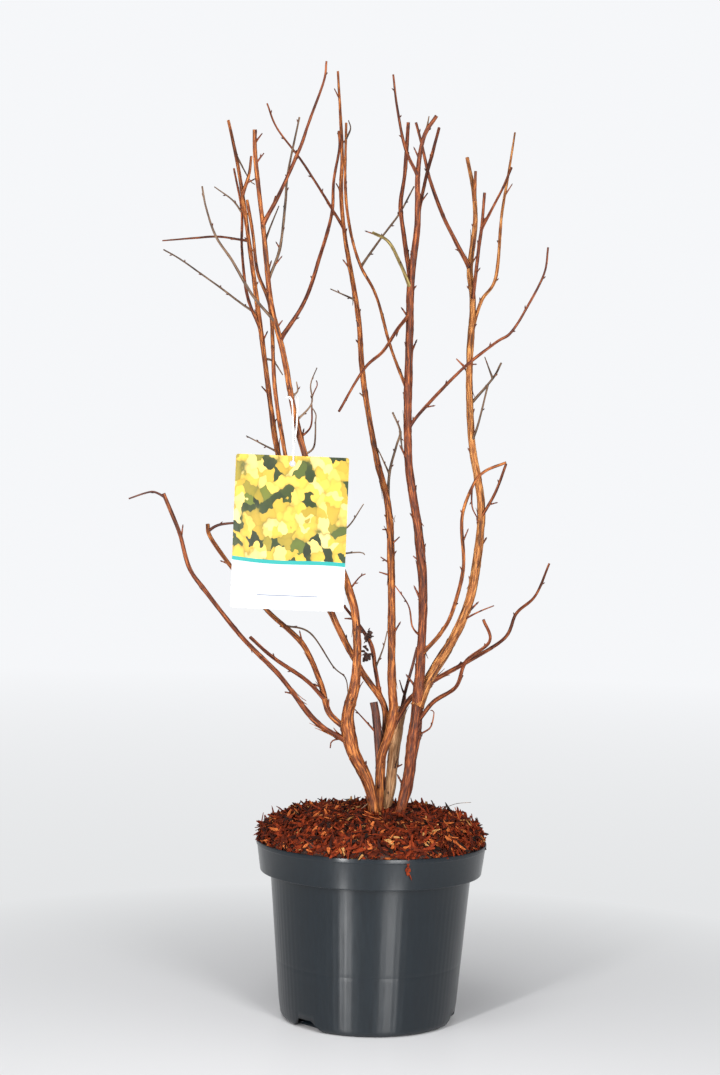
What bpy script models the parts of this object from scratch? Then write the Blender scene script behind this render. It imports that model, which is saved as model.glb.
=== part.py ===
# A winter-bare ninebark in its round nursery pot: five stems rise out of a mound of bark mulch,
# fork into slim boughs, and carry a picture card on a loop of thread.
# Metres, +Z up. The origin is the middle of the pot's flat underside, and the front is -Y.

import math

import bmesh
import bpy
from mathutils import Matrix, Vector

CM = 0.01
MM = 0.001
GAP = 0.3 * MM  # clearance between pieces that touch on the real plant

# The pot, a thin moulded tub with a stepped collar
POT_FOOT_RADIUS = 7.5 * CM
POT_BODY_RADIUS = 8.6 * CM  # outside, just under the collar
COLLAR_RADIUS = 9.5 * CM  # outside, at the collar's lower edge
RIM_RADIUS = 9.88 * CM
COLLAR_HEIGHT = 12.45 * CM
POT_HEIGHT = 15.1 * CM
POT_WALL = 1.6 * MM
POT_FLOOR = 2.5 * MM
FOOT_ROUNDING = 6 * MM
POT_SEGMENTS = 48

# The drainage notches in the pot's bottom edge, wider below than at their roof
NOTCH_WIDTH = 36 * MM
NOTCH_ROOF_WIDTH = 15 * MM
NOTCH_HEIGHT = 9 * MM
NOTCH_DEPTH = 13 * MM
NOTCH_TURNS = (-44, 77, 197)  # degrees from the front, to the right

# The mulch, heaped over the rim, with a level top where the stems stand
GROUND = 17.5 * CM
MULCH_TOP_RADIUS = 3.4 * CM
MULCH_OVERHANG = 9.74 * CM  # widest radius, just above the rim

# The picture card and the thread that carries it
CARD_WIDTH = 95 * MM
CARD_HEIGHT = 129 * MM
CARD_THICKNESS = 0.6 * MM
CARD_ROUNDING = 2 * MM
CARD_CENTRE = Vector((-7.53, -4.0, 41.3)) * CM
CARD_TILT = math.radians(0.8)  # it hangs a little low on its right
CARD_HOLE_DROP = 6.5 * MM  # from the top edge to the hole's middle
CARD_HOLE_RADIUS = 2.6 * MM
THREAD_RADIUS = 0.5 * MM
THREAD_HEIGHT = 52.7 * CM  # where it is looped round the left stem

# How finely a limb is cut into rings
STEM_SIDES = 8
BOUGH_SIDES = 6
TWIG_SIDES = 5
RING_SPACING = 1.9 * CM


def clear_scene():
    for obj in list(bpy.data.objects):
        bpy.data.objects.remove(obj, do_unlink=True)


def finish(name, colour, roughness):
    """A plain material of one colour."""
    material = bpy.data.materials.get(name) or bpy.data.materials.new(name)
    material.use_nodes = True
    shader = material.node_tree.nodes["Principled BSDF"]
    shader.inputs["Base Color"].default_value = (*colour, 1.0)
    shader.inputs["Roughness"].default_value = roughness
    shader.inputs["Metallic"].default_value = 0.0
    return material


def place(name, bm, material, smooth_under=50):
    """Turns the finished bmesh into an object in the scene."""
    bmesh.ops.recalc_face_normals(bm, faces=bm.faces[:])
    mesh = bpy.data.meshes.new(name)
    bm.to_mesh(mesh)
    bm.free()
    mesh.shade_smooth()
    mesh.set_sharp_from_angle(angle=math.radians(smooth_under))
    mesh.materials.append(material)
    obj = bpy.data.objects.new(name, mesh)
    bpy.context.scene.collection.objects.link(obj)
    return obj


def cut_away(obj, cutter):
    """Subtracts the cutter from the object."""
    cutter.hide_render = True
    cutter.display_type = "WIRE"
    cut = obj.modifiers.new("cut by " + cutter.name, "BOOLEAN")
    cut.operation = "DIFFERENCE"
    cut.solver = "EXACT"
    cut.object = cutter


# Turned pieces

def turned(profile, segments):
    """Spins an outline of (radius, height) points, which starts and ends on the axis, into a solid."""
    bm = bmesh.new()
    verts = [bm.verts.new((radius, 0, height)) for radius, height in profile]
    edges = [bm.edges.new(pair) for pair in zip(verts, verts[1:])]
    bmesh.ops.spin(bm, geom=verts + edges, axis=(0, 0, 1), cent=(0, 0, 0),
                   angle=math.tau, steps=segments, use_merge=True, use_duplicate=False)
    bmesh.ops.remove_doubles(bm, verts=bm.verts[:], dist=1e-6)
    return bm


def body_radius(height):
    """The pot's outside radius below the collar, where it tapers evenly."""
    return POT_FOOT_RADIUS + (POT_BODY_RADIUS - POT_FOOT_RADIUS) * height / COLLAR_HEIGHT


def make_pot():
    corner = [
        (POT_FOOT_RADIUS - FOOT_ROUNDING * (1 - math.sin(turn)), FOOT_ROUNDING * (1 - math.cos(turn)))
        for turn in (0, math.pi / 8, math.pi / 4, math.pi * 3 / 8)
    ]
    outside = corner + [
        (body_radius(FOOT_ROUNDING), FOOT_ROUNDING),
        (POT_BODY_RADIUS, COLLAR_HEIGHT),
        (COLLAR_RADIUS, COLLAR_HEIGHT + 0.5 * MM),
        (RIM_RADIUS, POT_HEIGHT - 1 * MM),
        (RIM_RADIUS - 0.4 * MM, POT_HEIGHT),
    ]
    inside = [
        (RIM_RADIUS - POT_WALL, POT_HEIGHT - 0.4 * MM),
        (COLLAR_RADIUS - POT_WALL, COLLAR_HEIGHT + 2 * MM),
        (POT_BODY_RADIUS - POT_WALL, COLLAR_HEIGHT + 1.6 * MM),
        (body_radius(FOOT_ROUNDING + POT_FLOOR) - POT_WALL, FOOT_ROUNDING + POT_FLOOR),
        (POT_FOOT_RADIUS - FOOT_ROUNDING, POT_FLOOR),
    ]
    profile = [(0, 0)] + outside + inside + [(0, POT_FLOOR)]
    plastic = finish("pot plastic", (0.045, 0.06, 0.075), 0.35)
    pot = place("pot", turned(profile, POT_SEGMENTS), plastic, smooth_under=35)
    for number, turn in enumerate(NOTCH_TURNS):
        cut_away(pot, make_notch(number, math.radians(turn)))


def make_notch(number, turn):
    """The cutter for one drainage notch: a block with leaning sides that faces outwards."""
    bm = bmesh.new()
    bmesh.ops.create_cube(bm, size=1)
    bmesh.ops.scale(bm, vec=(1, 2 * NOTCH_DEPTH, 2 * NOTCH_HEIGHT), verts=bm.verts[:])
    for vert in bm.verts:
        vert.co.x *= NOTCH_ROOF_WIDTH if vert.co.z > 0 else 2 * NOTCH_WIDTH - NOTCH_ROOF_WIDTH
    outward = Vector((math.sin(turn), -math.cos(turn), 0))
    bmesh.ops.rotate(bm, cent=(0, 0, 0), matrix=Matrix.Rotation(turn, 3, "Z"), verts=bm.verts[:])
    bmesh.ops.translate(bm, vec=outward * POT_FOOT_RADIUS, verts=bm.verts[:])
    return place(f"notch_cutter_{number + 1}", bm, finish("cutter", (0.5, 0.5, 0.5), 0.5))


def make_mulch():
    """The filling of the pot and the mound on it, one turned solid."""
    clear = POT_WALL + GAP
    profile = [
        (0, POT_FLOOR + GAP),
        (POT_FOOT_RADIUS - FOOT_ROUNDING - NOTCH_DEPTH * 0.7, POT_FLOOR + GAP),
        (POT_FOOT_RADIUS - FOOT_ROUNDING - NOTCH_DEPTH * 0.7, NOTCH_HEIGHT + GAP),
        (body_radius(NOTCH_HEIGHT) - clear, NOTCH_HEIGHT + GAP),
        (POT_BODY_RADIUS - clear, COLLAR_HEIGHT + 1.6 * MM + GAP),
        (COLLAR_RADIUS - clear - 1 * MM, COLLAR_HEIGHT + 2 * MM + GAP),
        (RIM_RADIUS - clear - 1 * MM, POT_HEIGHT + GAP),
        (MULCH_OVERHANG, POT_HEIGHT + 5 * MM),
        (MULCH_OVERHANG - 3 * MM, POT_HEIGHT + 11 * MM),
        (RIM_RADIUS - 13 * MM, POT_HEIGHT + 17 * MM),
        (RIM_RADIUS - 34 * MM, GROUND - 2.5 * MM),
        (MULCH_TOP_RADIUS, GROUND),
        (0, GROUND),
    ]
    bark_chips = finish("bark mulch", (0.22, 0.06, 0.02), 0.85)
    place("mulch", turned(profile, POT_SEGMENTS), bark_chips, smooth_under=60)


# Limbs

grown = {}  # by name: the centre line as (point, diameter) pairs, the sides, and whether it is rooted


def curved(before, start, end, after, steps):
    """Points from start up to end, on a smooth curve that passes through all four marks."""
    points = []
    for step in range(steps):
        t = step / steps
        points.append(0.5 * (2 * start + (end - before) * t
                             + (2 * before - 5 * start + 4 * end - after) * t ** 2
                             + (3 * start - before - 3 * end + after) * t ** 3))
    return points


def smooth_course(marks):
    """Points along a smooth curve through the marks, about a ring's spacing apart."""
    ends = [marks[0] * 2 - marks[1]] + marks + [marks[-1] * 2 - marks[-2]]
    points = []
    for before, start, end, after in zip(ends, ends[1:], ends[2:], ends[3:]):
        steps = max(1, round((end - start).length / RING_SPACING))
        points += curved(before, start, end, after, steps)
    return points + [marks[-1]]


def with_diameters(points, diameters):
    """Pairs each point with its diameter, read from values spread evenly along the course."""
    lengths = [0.0]
    for start, end in zip(points, points[1:]):
        lengths.append(lengths[-1] + (end - start).length)
    pairs = []
    for point, length in zip(points, lengths):
        place_on_list = length / lengths[-1] * (len(diameters) - 1)
        index = min(int(place_on_list), len(diameters) - 2)
        share = place_on_list - index
        pairs.append((point, (diameters[index] * (1 - share) + diameters[index + 1] * share) * MM))
    return pairs


def point_on(name, height):
    """Where a limb's centre line passes a height, counted in centimetres."""
    points = [point for point, _ in grown[name][0]]
    for start, end in zip(points, points[1:]):
        low, high = sorted((start.z, end.z))
        if low <= height * CM <= high:
            return start.lerp(end, (height * CM - start.z) / (end.z - start.z))
    raise ValueError(f"{name} doesn't pass {height} cm")


def tube(course, sides, rooted, extra=0.0):
    """Extrudes a ring along the course, turning it and changing its size at each step."""
    points = [point for point, _ in course]
    radii = [diameter / 2 + extra for _, diameter in course]
    ahead = [(end - start).normalized() for start, end in zip(points, points[1:])]
    facing = [(first + second).normalized() for first, second in zip(ahead[:1] + ahead, ahead + ahead[-1:])]
    points[-1] = points[-1] + facing[-1] * extra
    if rooted:
        facing[0] = Vector((0, 0, 1))
    bm = bmesh.new()
    ring = bmesh.ops.create_circle(bm, cap_ends=True, segments=sides, radius=radii[0])["verts"]
    bm.faces.ensure_lookup_table()
    end_face = bm.faces[0]
    lie = Vector((0, 0, 1)).rotation_difference(facing[0]).to_matrix()
    bmesh.ops.rotate(bm, cent=(0, 0, 0), matrix=lie, verts=ring)
    bmesh.ops.translate(bm, vec=points[0], verts=ring)
    for step in range(1, len(points)):
        raised = bmesh.ops.extrude_face_region(bm, geom=[end_face])["geom"]
        if step > 1:
            bmesh.ops.delete(bm, geom=[end_face], context="FACES_ONLY")
        end_face = next(item for item in raised if isinstance(item, bmesh.types.BMFace))
        ring = end_face.verts[:]
        turn = facing[step - 1].rotation_difference(facing[step]).to_matrix()
        growth = radii[step] / radii[step - 1]
        bmesh.ops.translate(bm, vec=points[step] - points[step - 1], verts=ring)
        bmesh.ops.rotate(bm, cent=points[step], matrix=turn, verts=ring)
        bmesh.ops.scale(bm, vec=(growth,) * 3, space=Matrix.Translation(-points[step]), verts=ring)
    return bm


def limb(name, diameters, *marks, on=None, clear_of=(), sides=BOUGH_SIDES):
    """One stem, bough or twig through its marks, in centimetres, with diameters in millimetres.

    A limb on another one starts at a height on that one's centre line and is cut back to its bark.
    """
    route = [Vector(mark) * CM for mark in marks]
    if on:
        route.insert(0, point_on(*on))
    else:
        route[0].z = GROUND + GAP
    course = with_diameters(smooth_course(route), diameters)
    grown[name] = (course, sides, not on)
    bark = finish("bark", (0.36, 0.13, 0.04), 0.7)
    piece = place(name, tube(course, sides, rooted=not on), bark)
    for other in [*(on or ())[:1], *clear_of]:
        cut_away(piece, bark_cutter(other))


def bark_cutter(name):
    """A copy of a limb that is a gap's width thicker, to cut its boughs back with."""
    cutter = bpy.data.objects.get(name + "_cutter")
    if cutter:
        return cutter
    bm = tube(*grown[name], extra=GAP)
    return place(name + "_cutter", bm, finish("cutter", (0.5, 0.5, 0.5), 0.5))


def grow_left_side():
    limb("left_stem", (8, 12, 7, 6.5, 5.5, 5, 4.5, 4, 3.4),
         (0.3, -1.9, 17.5), (-0.3, -2, 20), (-1.8, -2.3, 23), (-2.3, -2.5, 25.8), (-1.7, -2.7, 29.2),
         (-1.9, -3, 34.8), (-4.1, -3.2, 40.8), (-7, -3.2, 49.7), (-8.5, -3.4, 56.5), (-9.6, -3.7, 60.5),
         (-10.3, -4.3, 66.1), (-11.1, -5.4, 72.2), (-11.2, -5.9, 74.6), sides=STEM_SIDES)
    limb("left_rear_stem", (5, 5.5, 5.3, 5, 4.6, 4.4, 4.2, 3.6, 2.6),
         (0.8, 1.3, 17.5), (0.8, 0.4, 23), (0.8, -0.1, 26.6), (-1.4, -0.8, 29.9), (-4, -1.2, 34.8),
         (-6.9, -1, 42.6), (-8.8, -0.4, 47.9), (-9.8, 0.4, 53.4), (-10.6, 1.3, 58.3), (-11.6, 2.6, 64.2),
         (-12.6, 3.9, 70.1), (-13.3, 4.8, 73.8), (-14.3, 5.8, 77.9), sides=STEM_SIDES)
    limb("left_middle_stem", (3.8, 3.4, 2.6), (-8.2, -1.7, 48.1), (-9.2, -2, 53.8), (-9.7, -2.2, 60.1),
         (-10.9, -2, 63.4), (-11.4, -1.6, 66.6), (-12, -1.1, 69.6), on=("left_rear_stem", 42.4))
    limb("left_rear_fork", (3, 2.4), (-12.2, 3.6, 72.7), (-12, 3, 74.2), on=("left_rear_stem", 71))
    limb("left_outer_shoot", (3, 2.4, 1.8), (-12, 2.6, 61.9), (-12.7, 4.3, 66.2), (-12.9, 5.6, 69.9),
         (-13.8, 7.2, 73.9), on=("left_rear_stem", 58.8))
    limb("left_level_twig", (2.2, 1.9, 1.3), (-14.8, 4.4, 67.3), (-16.9, 5.4, 67.3), (-20, 6.8, 67.2),
         on=("left_rear_stem", 66.8), sides=TWIG_SIDES)
    limb("left_far_twig", (2.2, 1.8, 1.3), (-12.8, 3.6, 61.5), (-14.6, 5, 62.9), (-18.3, 7.6, 65.6),
         (-20.1, 8.8, 66.7), on=("left_rear_stem", 60.1), clear_of=("left_outer_shoot",), sides=TWIG_SIDES)
    limb("left_rising_twig", (2.6, 2.2, 1.5), (-11.1, -4.8, 61), (-12.8, -6, 63.7), (-14.1, -6.9, 65.5),
         (-14.9, -7.8, 67.7), (-15.2, -8.5, 69.3), on=("left_stem", 59), sides=TWIG_SIDES)
    limb("left_top_bough", (3.6, 3, 2.4, 1.6), (-9.1, -5.4, 69.3), (-7.4, -7.2, 72.8), (-6.7, -8.1, 74.7),
         (-5.5, -9.6, 77.8), (-5.3, -10.2, 79.3), on=("left_stem", 67))
    limb("left_inner_twig", (2.6, 2.2, 1.6), (-9, -2.8, 65.4), (-8.7, -1.4, 69.6), (-8.6, -0.6, 72.1),
         (-7.8, 1.2, 77.3), on=("left_stem", 62.4), sides=TWIG_SIDES)
    limb("inward_bough", (3.8, 3.2, 2.8, 2.2), (-6.8, -2.4, 61), (-5.7, -0.8, 64.9), (-4.8, 0.8, 68.8),
         (-4.7, 2.2, 72.1), (-4.3, 3.4, 75.2), (-4.4, 4, 76.8), on=("left_stem", 57.5))
    limb("long_left_bough", (5, 4.2, 3.8, 3.6, 3), (-5, -3.2, 25.5), (-8.1, -4.6, 29.4), (-11.2, -6.2, 32.6),
         (-14.2, -7.8, 36.4), (-15.5, -8.4, 38.3), (-16.3, -9, 41.1), (-17.6, -9.6, 44.2),
         on=("left_stem", 23.6))
    limb("left_tip_twig", (1.8, 1.3), (-18.3, -9.8, 44.3), (-19, -10, 44.2), (-20.3, -10.3, 43.7),
         on=("long_left_bough", 43.9), sides=TWIG_SIDES)
    limb("left_low_bough", (5.2, 4.6, 4, 3.6), (-3.9, -1.6, 26.1), (-4.7, -0.4, 28.5), (-6.4, 1.4, 31.7),
         (-9.7, 3.6, 34.5), (-13.1, 6, 38.2), (-15.1, 7.4, 40.8), (-15.4, 7.8, 41.9),
         on=("left_stem", 24.7), clear_of=("long_left_bough",))
    limb("left_cross_bough", (3.6, 3), (-6, -2, 28.9), (-8.7, -3.6, 30.8), (-10.6, -4.6, 32.5),
         on=("left_low_bough", 27.2))
    limb("left_end_twig", (2.4, 2.2), (-14.2, 7.4, 41.9), (-11.5, 7, 42.2),
         on=("left_low_bough", 41.3), sides=TWIG_SIDES)


def grow_middle():
    limb("centre_stem", (7, 8, 6.8, 6.4, 4.9, 4.8, 4, 3.4, 2),
         (0.6, -0.8, 17.5), (0.6, -1.1, 21.7), (1.3, -1.4, 24.5), (1.6, -1, 26.4), (1.4, -0.3, 28.9),
         (1.2, 1.2, 36.8), (0.8, 2.4, 43.5), (-0.4, 3.2, 48.2), (-1.7, 4.2, 55), (-2.3, 5, 60.8),
         (-3.6, 6, 67.5), (-4.1, 6.6, 71.7), (-4.1, 7.1, 75.3), (-4.4, 7.6, 79.5), (-4.7, 8.1, 83.1),
         sides=STEM_SIDES)
    limb("stump", (6, 6.5, 7), (0.3, -0.9, 23.9), (0.1, -0.8, 25.9), (-0.1, -0.7, 27), on=("centre_stem", 21.4))
    limb("middle_stump", (6.5, 9.5, 10, 7.5), (1.2, 0.4, 17.5), (1.6, 0.7, 20.7), (1.9, 1, 23.4),
         (2.4, 1.3, 26.5), sides=STEM_SIDES)
    limb("middle_shoot", (3.2, 2.2), (2.6, 1.6, 27.6), (3.2, 2.2, 29.9), (3.6, 2.7, 31.6),
         on=("middle_stump", 25.8))
    limb("dried_shoot", (3.8, 3.6, 2.2), (0, 0.4, 29.6), (-0.4, 0.8, 31.7), (-1.4, 1.2, 33.3),
         (-2.9, 1.7, 35.1), on=("left_rear_stem", 27.4))
    limb("middle_side_shoot", (2.8, 2.2, 1.8), (0.8, 3.6, 46.7), (1.4, 5, 49.3), (1.7, 5.6, 50.6),
         (1, 6.4, 52.3), on=("centre_stem", 43.9), sides=TWIG_SIDES)
    limb("back_left_twig", (2.6, 2.2, 1.5), (-6, 7.8, 72.3), (-8, 9.2, 75.4), (-10.2, 10.6, 78.4),
         (-11.2, 11.4, 80.8), on=("centre_stem", 68.6), sides=TWIG_SIDES)


def grow_right_side():
    limb("right_stem", (8, 11.5, 7.2, 8, 6.8, 6.8, 6.4, 4.8, 3),
         (2.1, -1.2, 17.5), (2.9, -1.3, 20), (3.3, -1.5, 23.5), (3.6, -1.7, 26.9), (3.8, -2.1, 31.6),
         (3.8, -2.6, 37), (3.2, -3, 42.1), (2.3, -3.4, 47.3), (2.1, -3.7, 53.1), (2.1, -3.9, 58.1),
         (2.1, -4.2, 62.7), (2.5, -4.6, 67.3), (2.4, -5.2, 71.3), (2.8, -5.8, 74.3), (3.8, -6.4, 76),
         sides=STEM_SIDES)
    limb("top_twig", (3, 2.4, 1.6), (1.3, -6.4, 73.2), (0.5, -8.2, 76.2), (0.1, -9.6, 78.5),
         on=("right_stem", 71.3))
    limb("right_stem_inner_bough", (4.2, 3.6, 3), (1.5, -3, 66.2), (1.1, -2.2, 69.3), (1.4, -1.6, 72.2),
         (1.6, -0.9, 76.6), on=("right_stem", 62.4))
    limb("right_stem_fork", (3.2, 2.6), (3.2, -3.4, 71.7), (3.7, -2.6, 73.8), (4.2, -1.9, 76),
         on=("right_stem", 68))
    limb("split_tip_bough", (3.2, 2.8, 2.4), (1.1, -5.6, 63.9), (0.1, -7, 65.4), (-1.2, -8.4, 65.9),
         on=("right_stem", 62))
    limb("crossing_bough", (3.2, 2.6, 2), (1, -5, 58.4), (-0.1, -6.2, 56.5), (-1.7, -7.4, 54.8),
         (-3.6, -9.4, 51.2), on=("right_stem", 59.9))
    limb("crossing_shoot", (2.8, 2.6, 2.6, 2.6, 2.2), (1, -2.2, 56.1), (0.4, -1, 57.9), (-0.8, 1.2, 62.1),
         (-2.2, 3.2, 64.9), (-3.1, 4.2, 67.8), (-3.7, 4.9, 71.8), (-3.8, 5.6, 77.9),
         on=("right_stem", 53.3))
    limb("back_right_twig", (2.4, 2, 1.5), (-0.4, 6.4, 67.9), (1.2, 8.6, 70.5), (2.5, 10.4, 73.3),
         on=("crossing_shoot", 64.8), sides=TWIG_SIDES)
    limb("long_right_twig", (3, 2.6, 2.2, 1.5), (3.3, -4.4, 51.8), (6.4, -6.6, 55.1), (9, -8.2, 57.2),
         (10.2, -8.9, 58), (11.5, -9.8, 60.2), (12.6, -10.7, 62.6), (12.8, -11.3, 64.6),
         on=("right_stem", 50.2))
    limb("right_front_bough", (3.6, 3.2, 2.8, 2.2), (5.4, -3.2, 33.2), (6.3, -4.2, 35.2), (7, -5.6, 38.8),
         (6.7, -7, 42.8), (7.5, -8.2, 45.6), (8.4, -8.7, 46.7), (10, -9.5, 47.4), on=("right_stem", 31.2))
    limb("right_low_twig", (3.8, 3.2, 2.4), (4.9, -2.8, 27.3), (6.7, -4.6, 28.8), (7.4, -5.8, 31),
         (9.2, -7.4, 32.8), (8.6, -8.2, 34.6), on=("right_stem", 25.2))
    limb("right_outer_stem", (9, 8.5, 7.8, 7, 6.2, 6.1, 5.8, 4.6, 3.1),
         (4.6, -1.1, 29.2), (6.8, 0.3, 32.9), (8.1, 1.4, 36.3), (8.7, 2.3, 40.2), (8.9, 3.2, 44.3),
         (8, 4.2, 49.9), (7.7, 5.2, 56.2), (7.9, 6.1, 62.1), (7.6, 6.6, 65.4), (8, 7.2, 69.4),
         (7.8, 7.8, 72.6), (7.2, 8.6, 75.7), on=("right_stem", 26.8), sides=STEM_SIDES)
    limb("right_low_bough", (5.2, 4.4, 3.6, 2.8, 2), (2, -0.4, 25.6), (3.1, 0.6, 27.3), (5, 2, 28.7),
         (8.2, 4, 30.4), (11.5, 6.2, 32.4), (12.6, 7.2, 34.6), (14.4, 8.6, 36.2), (15.7, 9.9, 39.1),
         on=("centre_stem", 24))
    limb("right_outer_fork", (3, 2.6), (7.9, 7.2, 73.2), (7.9, 7, 74.2), on=("right_outer_stem", 71.6))
    limb("right_inward_bough", (4, 3.2, 2.4), (5.2, 4.8, 69.3), (3.7, 3.2, 72.6), (2.9, 2, 75.3),
         (2.3, 1.2, 77.1), on=("right_outer_stem", 65.4))
    limb("right_dark_strand", (3.4, 3, 2.6), (8.2, 4.6, 66.7), (8.4, 3.8, 68.8), (8.5, 2.9, 71.5),
         on=("right_outer_stem", 62.4))
    limb("right_top_bough", (3.4, 3, 2.6, 1.8), (8.7, 6.6, 62.5), (10, 7.6, 64.8), (10.5, 9.2, 70.6),
         (11.1, 10.3, 74.6), (11.7, 11.4, 78.7), on=("right_outer_stem", 59.5))
    limb("right_top_twig", (2.6, 2), (9.2, 2.6, 70.1), (10, 1.2, 71.7), (10.6, 0.1, 73.2),
         on=("right_dark_strand", 68.5), sides=TWIG_SIDES)
    limb("right_side_twig", (2.8, 2.2), (10, 1.6, 45.2), (10.8, 0.4, 47.7), on=("right_outer_stem", 43.1),
         sides=TWIG_SIDES)
    limb("right_bent_twig", (2.6, 1.8), (9.9, 6.8, 55.6), (10.7, 7.8, 57.1), on=("right_outer_stem", 53),
         sides=TWIG_SIDES)
    limb("right_slim_twig", (2.2, 1.6), (8.5, 3, 51.4), (9.1, 1, 54.5), on=("right_outer_stem", 49.7),
         sides=TWIG_SIDES)


# The picture card

def make_card():
    bm = bmesh.new()
    bmesh.ops.create_cube(bm, size=1)
    bmesh.ops.scale(bm, vec=(CARD_WIDTH, CARD_THICKNESS, CARD_HEIGHT), verts=bm.verts[:])
    corners = [edge for edge in bm.edges if abs(edge.verts[0].co.y - edge.verts[1].co.y) > CARD_THICKNESS / 2]
    bmesh.ops.bevel(bm, geom=corners, affect="EDGES", offset=CARD_ROUNDING, segments=3, profile=0.5,
                    material=-1)
    card = place("picture_card", bm, finish("card", (0.75, 0.72, 0.45), 0.4))
    card.location = CARD_CENTRE
    card.rotation_euler.y = CARD_TILT
    hole = bmesh.new()
    bmesh.ops.create_cone(hole, cap_ends=True, segments=12, radius1=CARD_HOLE_RADIUS,
                          radius2=CARD_HOLE_RADIUS, depth=10 * CARD_THICKNESS)
    bmesh.ops.rotate(hole, cent=(0, 0, 0), matrix=Matrix.Rotation(math.pi / 2, 3, "X"), verts=hole.verts[:])
    punch = place("card_hole_cutter", hole, finish("cutter", (0.5, 0.5, 0.5), 0.5))
    punch.location = card_hole()
    cut_away(card, punch)


def card_hole():
    """The middle of the punched hole."""
    drop = CARD_HEIGHT / 2 - CARD_HOLE_DROP
    return CARD_CENTRE + Vector((math.sin(CARD_TILT) * drop, 0, math.cos(CARD_TILT) * drop))


def make_thread():
    """One closed loop of thread: round the left stem, down, and through the card's hole."""
    knot = point_on("left_stem", THREAD_HEIGHT / CM)
    hole = card_hole()
    aside = 4.2 * MM  # past the bark on each side
    marks = [
        knot + Vector((0, aside, 1 * MM)),
        knot + Vector((-aside, 0.5 * MM, 0)),
        knot + Vector((0.5 * MM, -aside - 1 * MM, -4 * MM)),
        knot.lerp(hole, 0.5) + Vector((1.5 * MM, -4 * MM, 0)),
        hole + Vector((0.5 * MM, -1.6 * MM, 4 * MM)),
        hole + Vector((0, 0, -0.8 * MM)),
        hole + Vector((-0.5 * MM, 1.6 * MM, 4 * MM)),
        knot.lerp(hole, 0.5) + Vector((3.5 * MM, -2 * MM, 0)),
        knot + Vector((aside + 1 * MM, -1.5 * MM, -4 * MM)),
        knot + Vector((aside, 1 * MM, 0)),
    ]
    curve = bpy.data.curves.new("card_thread", "CURVE")
    curve.dimensions = "3D"
    curve.bevel_depth = THREAD_RADIUS
    curve.bevel_resolution = 1
    spline = curve.splines.new("POLY")
    spline.use_cyclic_u = True
    points = rounded_loop(marks, 4)
    spline.points.add(len(points) - 1)
    for target, point in zip(spline.points, points):
        target.co = (*point, 1)
    curve.materials.append(finish("thread", (0.8, 0.8, 0.8), 0.8))
    bpy.context.scene.collection.objects.link(bpy.data.objects.new("card_thread", curve))


def rounded_loop(marks, steps):
    """Points on a smooth closed curve through the marks."""
    count = len(marks)
    points = []
    for index in range(count):
        before, start, end, after = (marks[(index + shift) % count] for shift in (-1, 0, 1, 2))
        points += curved(before, start, end, after, steps)
    return points


clear_scene()
make_pot()
make_mulch()
grow_left_side()
grow_middle()
grow_right_side()
make_card()
make_thread()
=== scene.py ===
# A winter-bare ninebark in a round nursery pot, built up from the pot to the tips of its twigs.
# Metres, +Z up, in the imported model's own places. The front, with the picture card, is -Y.

import math
import random

import bmesh
import bpy
from mathutils import Matrix, Vector, noise


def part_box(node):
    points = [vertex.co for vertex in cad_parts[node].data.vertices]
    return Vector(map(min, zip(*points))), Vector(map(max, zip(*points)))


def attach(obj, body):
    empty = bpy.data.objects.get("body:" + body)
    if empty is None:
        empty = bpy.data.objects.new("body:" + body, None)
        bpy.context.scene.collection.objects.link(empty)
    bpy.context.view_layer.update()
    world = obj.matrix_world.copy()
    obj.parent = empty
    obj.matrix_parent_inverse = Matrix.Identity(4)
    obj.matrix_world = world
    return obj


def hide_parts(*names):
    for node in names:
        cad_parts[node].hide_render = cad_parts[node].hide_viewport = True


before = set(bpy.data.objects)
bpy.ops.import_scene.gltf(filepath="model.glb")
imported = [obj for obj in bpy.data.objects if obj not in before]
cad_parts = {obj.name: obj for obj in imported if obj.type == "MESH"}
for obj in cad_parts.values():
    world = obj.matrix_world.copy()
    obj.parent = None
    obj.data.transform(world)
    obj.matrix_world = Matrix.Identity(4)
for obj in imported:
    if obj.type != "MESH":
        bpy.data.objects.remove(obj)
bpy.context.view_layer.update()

random.seed(9)

# The pot
# A thin tub of slate-coloured plastic, moulded in one piece: a finely fluted body that tapers to a rounded
# foot, a stepped collar that widens to the rim, and three notches in the bottom edge that let water out.

CM = 0.01
MM = 0.001
POT_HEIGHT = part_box("pot")[1].z
RIM_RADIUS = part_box("pot")[1].x
COLLAR_RADIUS = RIM_RADIUS - 3.8 * MM
BODY_RADIUS = RIM_RADIUS - 12.8 * MM
FOOT_RADIUS = RIM_RADIUS - 23.8 * MM
COLLAR_HEIGHT = 12.45 * CM
SEAM_HEIGHT = 5 * CM
FOOT_ROUNDING = 6 * MM
POT_WALL = 1.6 * MM
POT_FLOOR = 2.5 * MM
FLUTES = 90
FLUTE_DEPTH = 0.14 * MM
NOTCH_WIDTH = 36 * MM
NOTCH_ROOF_WIDTH = 15 * MM
NOTCH_HEIGHT = 9 * MM
NOTCH_DEPTH = 13 * MM
NOTCH_TURNS = (-44, 77, 197)  # degrees from the front, to the right


def feed(tree, socket, value):
    """Sets a socket to a plain value, or wires it to another node's socket."""
    if isinstance(value, bpy.types.NodeSocket):
        tree.links.new(value, socket)
    else:
        socket.default_value = value


def node(tree, kind, **values):
    """A new shader node. Each value goes to the socket of its name, with _ for a space."""
    made = tree.nodes.new("ShaderNode" + kind)
    for name, value in values.items():
        feed(tree, made.inputs[name.replace("_", " ")], value)
    return made


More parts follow.
